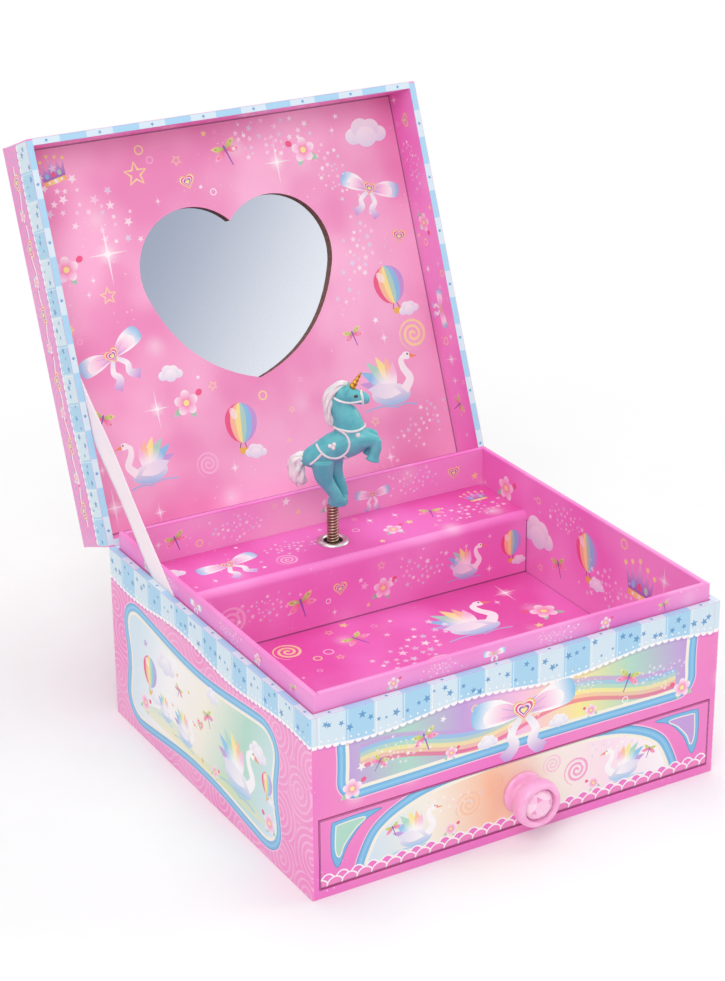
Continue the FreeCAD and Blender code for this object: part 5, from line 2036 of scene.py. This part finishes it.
@dataclass
class Drawer:
    """Drawer of thin board: printed front, plain inside, turned knob with a cut gem."""

    front: float = -BOX_DEPTH / 2
    scallops: int = 28
    knob_height: float = 16.0
    cup_floor: float = 9.2
    gem_facets: int = 8
    gem_radius: float = 5.5
    gem_girdle: float = 0.8
    gem_waist: Point = (4.45, 11.1)
    gem_table: float = 3.0
    gem_height: float = 2.9
    gem_inks: tuple[Ink, ...] = (Ink.HOT_PINK, Ink.BLUSH, Ink.PALE_PINK, Ink.WHITE)
    frame_panel: Cartouche = field(default_factory=lambda: Cartouche(border=4.2, grid=4.0))

    @property
    def knob_place(self) -> Matrix:
        """Turns the knob's axis towards the front."""
        place = Matrix.Translation((0, self.front, self.knob_height))
        return place @ Matrix.Rotation(pi / 2, 4, "X")

    def dress(self) -> None:
        """Papers the boards themselves."""
        dress(["drawer_front"], OUTER_FRONT.build(printed=False))
        dress(["drawer_bottom", "drawer_left_side", "drawer_right_side", "drawer_back"],
              Greyboard("drawer_paper", Ink.LINING_PALE, Ink.LINING).build())
        dress(["knob_screw"], Metal("zinc_screw", (196, 198, 200), (150, 150, 152), 0.28).build())

    def face(self) -> None:
        """Prints the drawer front: wide arch, corner gems and a scalloped fringe below."""
        low, high = board_size("drawer_front")
        half, foot, top = high.x - HEM, low.z + HEM, high.z - HEM
        sheet = PrintSheet("drawer_front_print", Plane((0, low.y, 0), ACROSS, UP),
                           rectangle(-half, foot, half, top), OUTER_FRONT)
        gem = curve([(72.6, 26.8), (63, 27.3), (54, 26.8), (60.5, 23.8), (66.4, 17.4),
                     (70.4, 9.6), (72.8, 14), (73.2, 22), (72.6, 26.8)], 5)[:-1]
        stone = curve([(70.9, 25), (65.5, 25.3), (60.4, 25), (64, 22.4), (68.2, 17.6),
                       (70, 13.6), (71.2, 17), (70.9, 25)], 4)[:-1]
        for side, ink in ((-1, Ink.MINT), (1, Ink.LILAC)):
            layers = ((gem, 0, Ink.BLUE), (gem, 0.3, Ink.AZURE), (stone, -0.45, Ink.CREAM),
                      (stone, 0, ink))
            for shape, depth, tone in layers:
                sheet.draw(inset([(side * u, v) for u, v in shape], depth), flat(tone))
        right = curve([(0, 33.5), (32, 31), (47, 27.2), (57.5, 20.9), (62.8, 12), (65.5, 3)], 8)
        arch = [*((-u, v) for u, v in reversed(right[1:])), *right,
                *((u, 3) for u in range(60, -61, -6))]
        colours = (Ink.ICE, Ink.CREAM, Ink.PEACH, Ink.CREAM, Ink.BLUSH, Ink.WHITE)
        shade = ramp((-58, 6), (58, 20), colours)
        self.frame_panel.draw(sheet, arch, shade)
        press(sheet, {
            Motif.SPIRAL: [(-21, 17.5, 5.4, 0, False, Ink.PEACH),
                           (22, 17.5, 5.4, 0, False, Ink.PINK), (-11, 22.5, 4, 0, False, Ink.PEACH),
                           (12, 22.8, 4, 0, False, Ink.PALE_PINK)],
            Motif.SWAN: [(-41, 15, 9.2), (41, 15, 9.2, 0, True)],
            Motif.DUST: [(-30, 21, 9), (33, 23, 9)],
            Motif.DRAGONFLY: [(-50, 17.5, 3.2, 20), (52, 16.5, 3.2, -20)],
            Motif.FLOWER: [(-28, 10.5, 3), (29, 10.5, 3, 0, True)],
        })
        width = 2 * half / self.scallops
        for shift, tall, ink in ((0.5, 4.6, Ink.TRAY), (0.0, 3.0, Ink.PINK)):
            for number in range(self.scallops + 1):
                middle = -half + (number + shift) * width
                arc = [(middle - 0.56 * width * cos(pi * step / 8),
                        foot + tall * sin(pi * step / 8)) for step in range(9)]
                sheet.draw(arc, flat(ink))
                sheet.stroke(arc, 0.55, flat(Ink.WHITE, 0.95))
        # Painted shade of the gaps round the drawer front.
        painted_gap_shade(sheet, (-half, foot), (half, top), 0.8)
        sheet.build("drawer", "outer_print")

    def knob(self) -> None:
        """Turns the knob with its flange, groove and cupped head."""
        profile = [(1.25, 0), (7.2, 0), (7.5, 0.2), (7.6, 0.65), (7.45, 1.15), (6.9, 1.6),
                   (6.0, 1.95), (5.2, 2.4), (4.9, 3.0), (4.95, 3.6), (5.5, 4.4), (6.7, 5.2),
                   (7.8, 5.9), (8.3, 6.6), (8.5, 7.6), (8.5, 8.8), (8.35, 9.8), (8.0, 10.7),
                   (7.5, 11.3), (6.95, 11.58), (6.4, 11.5), (6.05, 11.15), (5.9, 10.6),
                   (5.9, self.cup_floor), (0, self.cup_floor)]
        points, faces = revolved(profile, self.knob_place)
        finish = Plastic("knob_plastic", (246, 166, 212), (250, 182, 222), 0.24, 0.35, 0.12)
        knob = new_piece("turned_knob", points, faces, finish.build())
        settle(knob, "drawer", ["drawer_knob"])

    def gem(self) -> None:
        """Cuts the gem: girdle, kite and star facets and a flat table."""
        foot, few, many = self.cup_floor, self.gem_facets, 2 * self.gem_facets
        rings = ((self.gem_radius, foot, many, 0.0),
                 (self.gem_radius, foot + self.gem_girdle, many, 0.0), (*self.gem_waist, few, 0.5),
                 (self.gem_table, foot + self.gem_height, few, 0.0))
        points, rows = [], []
        for radius, height, count, shift in rings:
            rows.append([len(points) + step for step in range(count)])
            for step in range(count):
                angle = FULL_TURN * (step + shift) / count
                corner = Vector((radius * cos(angle), radius * sin(angle), height))
                points.append(self.knob_place @ corner * MM)
        low, edge, waist, table = rows
        faces = [[low[n], low[(n + 1) % many], edge[(n + 1) % many], edge[n]] for n in range(many)]
        for n in range(few):
            after, corner = (n + 1) % few, edge[(2 * n + 2) % many]
            faces += [[edge[2 * n], edge[2 * n + 1], waist[n]], [edge[2 * n + 1], corner, waist[n]],
                      [waist[n], corner, waist[after], table[after]],
                      [waist[n], table[after], table[n]]]
        faces += [table, list(reversed(low))]
        finish = Plastic("gem_plastic", (252, 206, 230), (250, 190, 222), 0.06, 0.6, 0.1,
                         inked=True)
        gem = new_piece("cut_gem", points, faces, finish.build(), smooth=False)
        inks = gem.data.attributes.new(INK_LAYER, "FLOAT_COLOR", "CORNER")
        draws = random.Random(4)
        for face in gem.data.polygons:
            tint = draws.choice(self.gem_inks)
            for loop in face.loop_indices:
                inks.data[loop].color = (*tint.linear, 0.55)
        settle(gem, "drawer", ["knob_gem"])

    def build(self) -> None:
        """Makes the drawer's pieces."""
        self.dress()
        self.face()
        self.knob()
        self.gem()


def skinned(rings: Sequence[list[int]]) -> list[list[int]]:
    """Faces between rings of as many corners, with the ends closed.

    Args:
        rings: the rings in order.

    Returns:
        The faces.
    """
    sides = len(rings[0])
    faces = [[low[n], low[(n + 1) % sides], high[(n + 1) % sides], high[n]]
             for low, high in zip(rings, rings[1:]) for n in range(sides)]
    return [*faces, list(reversed(rings[0])), rings[-1]]


def tube(path: Sequence[Vector], radii: Sequence[float], sides: int = 8,
         squash: float = 1.0, up: Vector = Vector(UP)) -> tuple[list[Vector], list[list[int]]]:
    """A closed tube along a path.

    Args:
        path: points of its middle line.
        radii: its radius at each of them.
        sides: corners of its section.
        squash: how flat the section is towards up.
        up: the way in which it is flattened.

    Returns:
        Points and faces.
    """
    points, rings = [], []
    for number, here in enumerate(path):
        before, after = path[max(number - 1, 0)], path[min(number + 1, len(path) - 1)]
        along = (after - before).normalized()
        side = along.cross(up)
        side = side.normalized() if side.length > 1e-6 else along.orthogonal().normalized()
        rise = side.cross(along)
        reach = radii[number]
        rings.append([len(points) + step for step in range(sides)])
        for step in range(sides):
            angle = FULL_TURN * (step + 0.5) / sides
            points.append(here + side * (reach * cos(angle)) + rise * (squash * reach * sin(angle)))
    return points, skinned(rings)


@dataclass
class CoilSpring:
    """Close-wound coil of bronzed wire that carries the figure, and the eyelet round it."""

    middle: tuple[float, float] = SPRING_PLACE
    low: float = 57.4
    mean_radius: float = 1.79
    wire: float = 0.92
    peg_top: float = 60.7
    pitch: float = 1.15
    turns: int = 13
    step_top: float = STEP_TOP
    per_turn: int = 24

    def coil(self) -> None:
        """Winds the wire."""
        path = []
        for step in range(self.turns * self.per_turn + 1):
            angle = FULL_TURN * step / self.per_turn
            height = self.low + self.pitch * step / self.per_turn
            path.append(Vector((self.middle[0] + self.mean_radius * cos(angle),
                                self.middle[1] + self.mean_radius * sin(angle), height)) * MM)
        points, faces = tube(path, [self.wire / 2 * MM] * len(path))
        wire = Metal("bronzed_wire", (184, 156, 138), (126, 94, 78), 0.2, (1.0, 1.0, 1.0))
        spring = new_piece("wound_spring", points, faces, wire.build())
        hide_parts("figure_spring")
        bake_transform(spring)
        log.info("%s bends between the step and the figure", spring.name)

    def eyelet(self) -> None:
        """Rolls the eyelet over the board."""
        profile = [(3.6, -2.1), (3.6, 0.1), (3.7, 0.45), (4.1, 0.7), (4.7, 0.8), (5.3, 0.74),
                   (5.8, 0.5), (6.1, 0.2), (6.2, 0.0), (4.25, 0.0), (4.25, -1.5), (5.6, -1.5),
                   (5.6, -2.1), (3.6, -2.1)]
        place = Matrix.Translation((*self.middle, self.step_top))
        points, faces = revolved(profile, place)
        metal = Metal("nickel_plate", (214, 212, 208), (168, 164, 160), 0.2)
        settle(new_piece("rolled_eyelet", points, faces, metal.build()), "case",
               ["eyelet"])

    def build(self) -> None:
        """Makes the coil and its eyelet."""
        self.coil()
        self.eyelet()


@dataclass
class UnicornFigure:
    """Moulded rearing unicorn in turquoise, with a white mane, tail and straps and a gilt horn.

    Its own axes run forward, sideways and up from the spring's middle on the step. A limb has
    its offset to the side, its breadth as a share of its depth, and stations of (forward, up,
    half depth).
    """

    origin: Triple = (*SPRING_PLACE, STEP_TOP)
    yaw: float = -31.0
    voxel: float = 0.32
    strap: float = 0.45
    strands: int = 8
    hair_core: float = 0.72
    strand_reach: float = 0.64
    strand_thick: float = 0.42
    horn_foot: Point = (7.2, 59.6)
    horn_tip: Point = (10.8, 65.9)
    horn_radii: Point = (1.4, 0.28)
    horn_twist: float = 4.5
    pendant: tuple[float, ...] = (9.6, 43.4, 0.85, 0.85)
    ornament: tuple[tuple[float, ...], ...] = ((-0.5, 39.2, 0.8, 0.75), (1.0, 39.9, 0.8, 0.75),
                                               (0.7, 38.6, 0.75, 0.8))
    eye: tuple[float, ...] = (8.9, 57.6, 0.85, 0.6)
    limbs: dict[str, Limb] = field(default_factory=lambda: {
        "torso": (0, 0.84, [(-11, 31.6, 1.6), (-7.9, 32.8, 3.9), (-4, 34.4, 4.8),
                            (1.2, 37.3, 5.6), (7, 39.7, 5.8), (11.2, 41.2, 4.5),
                            (13.4, 42.6, 2.2)]),
        "neck": (0, 0.74, [(7.2, 42, 5.9), (5.6, 48.2, 5.2), (3.8, 52.6, 4), (3.3, 56.6, 3.4)]),
        "head": (0, 0.8, [(2.2, 58.8, 2.7), (4.9, 57.5, 3.8), (8.7, 56.7, 2.9), (12, 55.9, 2.3),
                          (13.8, 55.6, 1.3)]),
        "near_forearm": (-2.3, 0.66, [(9.5, 40.6, 3.6), (14.3, 41, 2.7), (17, 40.4, 1.5)]),
        "near_foreleg": (-2.3, 0.8, [(16.3, 41.2, 1.7), (16.1, 37.9, 2), (15.3, 35, 2),
                                     (14.7, 32.8, 2.7)]),
        "far_forearm": (2.3, 0.66, [(9.5, 40.5, 3.5), (14, 40.9, 2.6), (16.2, 40.2, 1.5)]),
        "far_foreleg": (2.3, 0.84, [(15.4, 40.8, 1.7), (14.7, 37.6, 1.8), (13.7, 35, 1.8),
                                    (12.9, 33.2, 2.2)]),
        "near_hind_leg": (-2, 0.72, [(-3.3, 32.4, 4.3), (-2.9, 26.5, 3.5), (-1.1, 22.9, 2.6),
                                     (1.2, 19.1, 2.4), (2, 16.4, 2.7)]),
        "far_hind_leg": (1.9, 0.76, [(0.2, 32.2, 4.2), (1.4, 26.5, 2.6), (2.8, 22.7, 2.2),
                                     (3.5, 19.1, 2.2), (3.3, 16.4, 2.4)]),
        "hoof_base": (0, 0.97, [(2, 14.8, 3.7), (2, 16, 3.8), (2, 17.6, 3.4)]),
        "near_ear": (-2.3, 0.7, [(4.8, 58.4, 1), (5.6, 60, 0.9), (6.3, 61.4, 0.4)]),
        "far_ear": (2.3, 0.7, [(4.8, 58.4, 1), (5.6, 60, 0.9), (6.3, 61.4, 0.4)]),
    })
    mane: list[Triple] = field(default_factory=lambda: [
        (6.0, 61.6, 0.6), (3.0, 61.2, 1.6), (-0.2, 57.6, 2.0), (-1.3, 53, 1.8),
        (-0.8, 48.6, 1.5), (0.5, 45.2, 0.7)])
    tail: list[Triple] = field(default_factory=lambda: [
        (-9.2, 33.9, 1.1), (-11.8, 33.2, 2.1), (-13.2, 30, 2.9), (-12.6, 26.2, 2.8),
        (-11.3, 22.4, 2.5)])
    straps: dict[str, list[Point]] = field(default_factory=lambda: {
        "collar": [(0.4, 45.4), (3.6, 45.2), (7.1, 44.8), (10.2, 45.1), (12.4, 45.8)],
        "saddle_edge": [(2.4, 45.2), (5.2, 43.6), (6.5, 40.5), (5.5, 37.0), (2.4, 34.5),
                        (-1.1, 34.9), (-3.8, 36.8), (-5.4, 38.8)],
        "girth": [(4.2, 35.6), (5.6, 33.6)],
        "rump_strap": [(-3.1, 36.6), (-5.2, 34.1), (-7.8, 31.6)],
        "nose_band": [(10.7, 58.6), (11.2, 57.2), (11.4, 55.4), (11.3, 53.8)],
        "cheek_strap": [(1.0, 56.8), (3.7, 55.8), (7.2, 55.1), (11.3, 55.7)],
        "chin_strap": [(7.2, 55.1), (8.1, 53.7)],
    })

    @property
    def place(self) -> Matrix:
        """From the figure's own axes to the model's, in millimetres."""
        return Matrix.Translation(self.origin) @ Matrix.Rotation(radians(self.yaw), 4, "Z")

    def part(self, name: str, forms: Sequence[tuple[list, list]], material: Material) -> Object:
        """Makes one painted piece out of several closed forms.

        Args:
            name: the piece's name.
            forms: points in the figure's own millimetres and their faces, for each form.
            material: its paint.

        Returns:
            The piece, in place.
        """
        points, faces = [], []
        for more, rings in forms:
            faces += [[corner + len(points) for corner in ring] for ring in rings]
            points += more
        return new_piece(name, [self.place @ point * MM for point in points], faces, material)

    def body(self) -> Object:
        """Joins the limbs into one smooth moulding.

        Returns:
            The moulding.
        """
        forms = []
        for offset, breadth, stations in self.limbs.values():
            line = curve(stations, 6)
            radii = [depth for _, _, depth in line]
            path = [Vector((forward, offset, up)) for forward, up, _ in line]
            forms.append(tube(path, radii, 16, breadth, Vector(BACK)))
        paint = Plastic("turquoise_paint", (80, 178, 188), (98, 192, 198), 0.3, 0.3)
        body = self.part("unicorn_moulding", forms, paint.build())
        remesh = body.modifiers.new("blend", "REMESH")
        remesh.mode = "VOXEL"
        remesh.voxel_size = self.voxel * MM
        remesh.use_smooth_shade = True
        smooth = body.modifiers.new("soften", "SMOOTH")
        smooth.factor = 0.6
        smooth.iterations = 4
        return settle(baked(body), "figure", ["unicorn_figure"])

    def hair(self, name: str, knots: Sequence[Sequence[float]], breadth: float,
             material: Material) -> None:
        """Models a lock of hair: a core with wavy strands laid round it.

        Args:
            name: the piece's name.
            knots: its middle line as (forward, up, half depth).
            breadth: its breadth as a share of its depth.
            material: its paint.
        """
        line = curve(knots, 8)
        path = [Vector((forward, 0, up)) for forward, up, _ in line]
        radii = [depth for _, _, depth in line]
        forms = [tube(path, [self.hair_core * radius for radius in radii], 10, breadth,
                      Vector(BACK))]
        draws = random.Random(name)
        for strand in range(self.strands):
            start, lead = FULL_TURN * strand / self.strands, draws.uniform(0, FULL_TURN)
            strand_path = []
            for number, (here, radius) in enumerate(zip(path, radii)):
                share = number / (len(path) - 1)
                before, after = path[max(number - 1, 0)], path[min(number + 1, len(path) - 1)]
                deep = Vector(BACK).cross(after - before).normalized()
                angle = start + 0.8 * share + 0.3 * sin(12 * share + lead)
                reach = radius * (self.strand_reach + 0.14 * sin(15 * share + lead))
                strand_path.append(here + deep * (reach * cos(angle))
                                   + Vector((0, reach * breadth * sin(angle), 0)))
            cut = len(path) - draws.randrange(4)
            thickness = [self.strand_thick * radius * (1 if number < cut - 2 else 0.6)
                         for number, radius in enumerate(radii[:cut])]
            forms.append(tube(strand_path[:cut], thickness, 7, 1.0, Vector(BACK)))
        settle(self.part(name, forms, material), "figure")

    def horn(self) -> None:
        """Gilt horn with a twist."""
        foot, tip = (Vector((forward, 0, up)) for forward, up in (self.horn_foot, self.horn_tip))
        (thick, thin), rows, sides = self.horn_radii, 36, 16
        side = (tip - foot).normalized().cross(Vector(BACK))
        points, rings = [], []
        for row in range(rows + 1):
            share = row / rows
            rings.append([len(points) + step for step in range(sides)])
            for step in range(sides):
                angle = FULL_TURN * step / sides
                groove = cos(angle - FULL_TURN * self.horn_twist * share)
                reach = (thick - (thick - thin) * share) * (1 + 0.15 * groove)
                points.append(foot.lerp(tip, share) + side * (reach * cos(angle))
                              + Vector((0, reach * sin(angle), 0)))
        gilt = Metal("gilt_paint", (214, 160, 66), (150, 96, 34), 0.32, (1, 1, 1))
        horn = self.part("unicorn_horn", [(points, skinned(rings))], gilt.build())
        settle(horn, "figure")

    def trims(self, body: Object, white: Material) -> None:
        """Lays straps, pendant, saddle ornament and eyes on the moulding.

        Args:
            body: the moulding.
            white: paint of the straps.
        """
        tree = BVHTree.FromObject(body, bpy.context.evaluated_depsgraph_get())
        inverse = self.place.inverted()

        def on_side(forward: float, up: float, side: float) -> Vector:
            """Point of the moulding's side.

            Args:
                forward: place along the figure.
                up: height.
                side: -1 or 1.

            Returns:
                The point.
            """
            start = self.place @ Vector((forward, 20 * side, up)) * MM
            hit = tree.ray_cast(start, self.place.to_3x3() @ Vector((0, -side, 0)))[0]
            if hit is None:
                hit = tree.find_nearest(self.place @ Vector((forward, side, up)) * MM)[0]
            return inverse @ (hit / MM)

        def button(forward: float, up: float, wide: float, tall: float,
                   side: float) -> tuple[list, list]:
            """Domed oval on the moulding's side.

            Args:
                forward: place along the figure.
                up: height.
                wide: half its width.
                tall: half its height.
                side: -1 or 1.

            Returns:
                The points and the faces.
            """
            points, rings, count = [], [], 12
            for scale, rise in ((1.0, -0.3), (0.95, 0.15), (0.7, 0.38), (0.25, 0.48)):
                rings.append([len(points) + step for step in range(count)])
                for step in range(count):
                    angle = FULL_TURN * step / count
                    spot = on_side(forward + wide * scale * cos(angle),
                                   up + tall * scale * sin(angle), side)
                    points.append(spot + Vector((0, side * rise * min(wide, tall), 0)))
            return points, skinned(rings)

        forms, eyes = [], []
        for name, knots in self.straps.items():
            sides = [[on_side(*knot, side) for knot in curve(knots, 6)] for side in (-1.0, 1.0)]
            joined = [*sides[0], *reversed(sides[1])]
            paths = {"collar": [joined], "girth": [joined], "chin_strap": [joined],
                     "nose_band": [[*joined, joined[0]]]}.get(name, sides)
            forms += [tube(path, [self.strap] * len(path), 8) for path in paths]
        for side in (-1.0, 1.0):
            forms += [button(*spot, side) for spot in (self.pendant, *self.ornament)]
            eyes.append(button(*self.eye, side))
        settle(self.part("unicorn_straps", forms, white), "figure")
        dark = Plastic("dark_paint", (48, 34, 44), (64, 44, 52), 0.2, 0.5)
        settle(self.part("unicorn_eyes", eyes, dark.build()), "figure")

    def build(self) -> None:
        """Makes the figure's pieces."""
        white = Plastic("white_paint", (244, 240, 238), (226, 222, 226), 0.34, 0.2).build()
        body = self.body()
        self.hair("unicorn_mane", self.mane, 1.0, white)
        self.hair("unicorn_tail", self.tail, 0.75, white)
        self.horn()
        self.trims(body, white)


@dataclass
class ClothStrips:
    """Satin ribbon that stays the lid, and the cloth strip of the hinge."""

    ribbon_low: Triple = (-77.3, 28.0, 60.0)
    ribbon_angle: float = 38.9
    ribbon_length: float = 101.5
    ribbon_width: float = 11.0
    ribbon_thick: float = 0.25
    ribbon_bow: float = 0.8
    ribbon_free: Point = (0.22, 0.84)
    ribbon_bend: Point = (0.14, 0.86)
    hinge: tuple[float, float] = HINGE
    lid_angle: float = LID_ANGLE
    leaf: float = 12.0
    leaf_rows: tuple[float, ...] = (1.2, 3.0, 6.0, 9.0, 12.0)
    cloth_half: float = 74.0
    cloth_columns: int = 24
    cloth_sink: float = 0.55
    thick: float = 0.36

    def strip(self, name: str, rows: Sequence[Sequence[Vector]], flat_size: Point, thick: float,
              material: Material) -> Object:
        """A thin woven strip through rows of points, with a flat map in millimetres.

        Args:
            name: the piece's name.
            rows: rows of points from end to end.
            flat_size: width and length when flat.
            thick: its thickness.
            material: its weave.

        Returns:
            The piece.
        """
        count = len(rows[0])
        points = [point * MM for row in rows for point in row]
        faces = [[r * count + c, r * count + c + 1, (r + 1) * count + c + 1, (r + 1) * count + c]
                 for r in range(len(rows) - 1) for c in range(count - 1)]
        piece = new_piece(name, points, faces, material)
        flat_map = piece.data.uv_layers.new(name=UV_LAYER)
        for loop in piece.data.loops:
            row, column = divmod(loop.vertex_index, count)
            flat_map.data[loop.index].uv = (flat_size[0] * column / (count - 1),
                                            flat_size[1] * row / (len(rows) - 1))
        shell = piece.modifiers.new("thickness", "SOLIDIFY")
        shell.thickness = thick * MM
        shell.offset = 0
        return baked(piece)

    def ribbon(self) -> None:
        """Satin ribbon drawn nearly straight between the case and the lid."""
        angle = radians(self.ribbon_angle)
        along = Vector((0, cos(angle), sin(angle)))
        across = Vector((0, -sin(angle), cos(angle)))
        start = Vector(self.ribbon_low)
        low, high = self.ribbon_free
        rows, steps, columns = [], 40, 8
        for step in range(steps + 1):
            share = step / steps
            free = max(0.0, sin(pi * min(max((share - low) / (high - low), 0.0), 1.0)))
            row = []
            for column in range(columns + 1):
                side = 2 * column / columns - 1
                wave = 0.25 * free * sin(9 * share + 2 * side)
                bow = self.ribbon_bow * free * (1 - 0.6 * side * side) + wave
                row.append(start + along * (self.ribbon_length * share)
                           + across * (self.ribbon_width / 2 * side)
                           + Vector((bow, 0, 0)))
            rows.append(row)
        satin = Weave("satin", Ink.WHITE, Ink.BLUSH, 0.3, 0.4)
        ribbon = self.strip("satin_ribbon_stay", rows, (self.ribbon_width, self.ribbon_length),
                            self.ribbon_thick, satin.build())
        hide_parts("ribbon_stay")
        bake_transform(ribbon)
        log.info("%s runs from the case to the lid", ribbon.name)

    def hinge_strip(self) -> None:
        """Cloth strip glued along the backs of the case and the lid."""
        turn = radians(self.lid_angle)
        lid_way = Vector((0, sin(turn), cos(turn)))
        down = Vector((0, 0, -1))
        inner = (lid_way + down).normalized()
        corner = Vector((0, *self.hinge))
        case_out, lid_out = Vector(BACK), Vector((0, cos(turn), -sin(turn)))
        section = [corner + down * reach + case_out * (self.thick / 2)
                   for reach in reversed(self.leaf_rows)]
        section.append(corner + inner * self.cloth_sink)
        section += [corner + lid_way * reach + lid_out * (self.thick / 2)
                    for reach in self.leaf_rows]
        places = [-self.cloth_half + 2 * self.cloth_half * column / self.cloth_columns
                  for column in range(self.cloth_columns + 1)]
        rows = [[point + Vector((x, 0, 0)) for x in places] for point in section]
        cloth = Weave("hinge_cloth_paper", Ink.HOT_PINK, Ink.DEEP_PINK, 0.5, 0.1)
        strip = self.strip("hinge_cloth_strip", rows, (2 * self.cloth_half, 2 * self.leaf),
                           self.thick, cloth.build())
        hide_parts("hinge_cloth")
        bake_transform(strip)
        log.info("%s folds between the case and the lid", strip.name)

    def build(self) -> None:
        """Makes both strips."""
        self.ribbon()
        self.hinge_strip()


@dataclass
class Movement:
    """Wind-up movement behind the step, and its key."""

    metals: dict[Metal, list[str]] = field(default_factory=lambda: {
        Metal("cast_zinc", (172, 174, 176), (128, 130, 134), 0.42):
            ["movement_bedplate"],
        Metal("bright_steel", (206, 208, 210), (160, 162, 166), 0.2):
            ["tone_comb", "winding_arbor"],
        Metal("movement_brass", (222, 186, 108), (176, 138, 72), 0.24):
            ["spindle", "cylinder_pinion", "music_cylinder", "spring_barrel"],
        Metal("nickel_key", (214, 214, 212), (166, 166, 164), 0.22):
            ["movement_screws", "winding_key"],
    })

    def build(self) -> None:
        """Gives each piece its metal."""
        for metal, nodes in self.metals.items():
            dress(nodes, metal.build())


@dataclass
class Studio:
    """Pale floor, soft lamps, white backdrop and the camera."""

    azimuth: float = -31.172
    elevation: float = 23.063
    aim: Triple = (0.0, 0.0, 0.10803)
    distance: float = 0.8371
    lens: float = 90.0
    shift: tuple[float, float] = (-0.0462, -0.0284)
    ambient: float = 0.6
    floor_half: float = 3.0
    floor_drop: float = 0.00005
    fade: tuple[float, float] = (0.16, 0.42)
    lamp_aim: Triple = (0.0, 0.0, 0.08)

    def camera(self) -> None:
        """Stands the camera where the photograph was taken."""
        az, el = radians(self.azimuth), radians(self.elevation)
        back = Vector((sin(az) * cos(el), -cos(az) * cos(el), sin(el)))
        right = Vector((cos(az), sin(az), 0))
        data = bpy.data.cameras.new("photo_camera")
        data.lens = self.lens
        data.sensor_width = 36.0
        data.shift_x, data.shift_y = self.shift
        data.clip_start, data.clip_end = 0.01, 50.0
        camera = bpy.data.objects.new("photo_camera", data)
        axes = Matrix((right, back.cross(right), back)).transposed()
        place = Matrix.Translation(Vector(self.aim) + back * self.distance)
        camera.matrix_world = place @ axes.to_4x4()
        bpy.context.scene.collection.objects.link(camera)
        bpy.context.scene.camera = camera

    def lamps(self) -> None:
        """Hangs the soft lamps."""
        rows = (("key_lamp", (-0.75, -0.85, 1.1), 1.0, 8.0),
                ("fill_lamp", (1.3, -0.3, 0.7), 1.0, 4.0), ("top_lamp", (0.1, 0.3, 1.5), 1.2, 6.0))
        for name, place, size, power in rows:
            data = bpy.data.lights.new(name, "AREA")
            data.shape = "DISK"
            data.size = size
            data.energy = power
            lamp = bpy.data.objects.new(name, data)
            lamp.location = place
            aim = Vector(self.lamp_aim) - Vector(place)
            lamp.rotation_euler = aim.to_track_quat("-Z", "Y").to_euler()
            bpy.context.scene.collection.objects.link(lamp)

    def seen(self, tree: NodeTree) -> NodeSocket:
        """1 for what the camera, a reflection or a refraction sees.

        Args:
            tree: the node tree.

        Returns:
            The share.
        """
        path = tree.nodes.new("ShaderNodeLightPath")
        total = path.outputs["Is Camera Ray"]
        for name in ("Is Glossy Ray", "Is Transmission Ray"):
            either = tree.nodes.new("ShaderNodeMath")
            either.operation = "MAXIMUM"
            tree.links.new(total, either.inputs[0])
            tree.links.new(path.outputs[name], either.inputs[1])
            total = either.outputs[0]
        return total

    def backdrop(self) -> None:
        """Sets the world white to the eye and dimmer as light."""
        world = bpy.data.worlds.new("studio")
        world.use_nodes = True
        bpy.context.scene.world = world
        tree = world.node_tree
        light = tree.nodes["Background"]
        light.inputs["Color"].default_value = (1, 1, 1, 1)
        light.inputs["Strength"].default_value = self.ambient
        white = tree.nodes.new("ShaderNodeBackground")
        white.inputs["Color"].default_value = (1, 1, 1, 1)
        mix = tree.nodes.new("ShaderNodeMixShader")
        tree.links.new(self.seen(tree), mix.inputs[0])
        tree.links.new(light.outputs[0], mix.inputs[1])
        tree.links.new(white.outputs[0], mix.inputs[2])
        tree.links.new(mix.outputs[0], tree.nodes["World Output"].inputs["Surface"])

    def floor(self) -> None:
        """Lays a pale floor that keeps the shadow and fades to white away from the box."""
        nodes = Nodes("studio_floor")
        grain = nodes.noise(40.0, 3.0)
        nodes.set(Base_Color=nodes.mix(grain, linear((244, 244, 244)), linear((250, 250, 250))),
                  Roughness=nodes.calc("MULTIPLY_ADD", grain, 0.1, 0.75))
        away = nodes.add("ShaderNodeVectorMath", operation="LENGTH")
        nodes.put(away.inputs[0], nodes.place)
        white = nodes.add("ShaderNodeEmission")
        mix = nodes.add("ShaderNodeMixShader")
        far = nodes.step(away.outputs["Value"], *self.fade)
        nodes.put(mix.inputs[0], nodes.calc("MULTIPLY", far, self.seen(nodes.tree)))
        nodes.put(mix.inputs[1], nodes.shader.outputs[0])
        nodes.put(mix.inputs[2], white.outputs[0])
        nodes.put(nodes.tree.nodes["Material Output"].inputs["Surface"], mix.outputs[0])
        half = self.floor_half
        corners = [Vector((u, v, -self.floor_drop)) for u, v in rectangle(-half, -half, half, half)]
        floor = new_piece("studio_floor", corners, [[0, 1, 2, 3]], nodes.material)

    def build(self) -> None:
        """Sets up the studio."""
        bpy.context.scene.view_settings.view_transform = "Standard"
        self.camera()
        self.lamps()
        self.backdrop()
        self.floor()


def main() -> None:
    """Builds the pieces in order."""
    logging.basicConfig(level=logging.INFO, format="%(name)s: %(message)s")
    for assembly in (Studio(), CaseShell(), TrayInside(), LidShell(), Drawer(), CoilSpring(),
                     UnicornFigure(), ClothStrips(), Movement()):
        assembly.build()


if __name__ == "__main__":
    main()
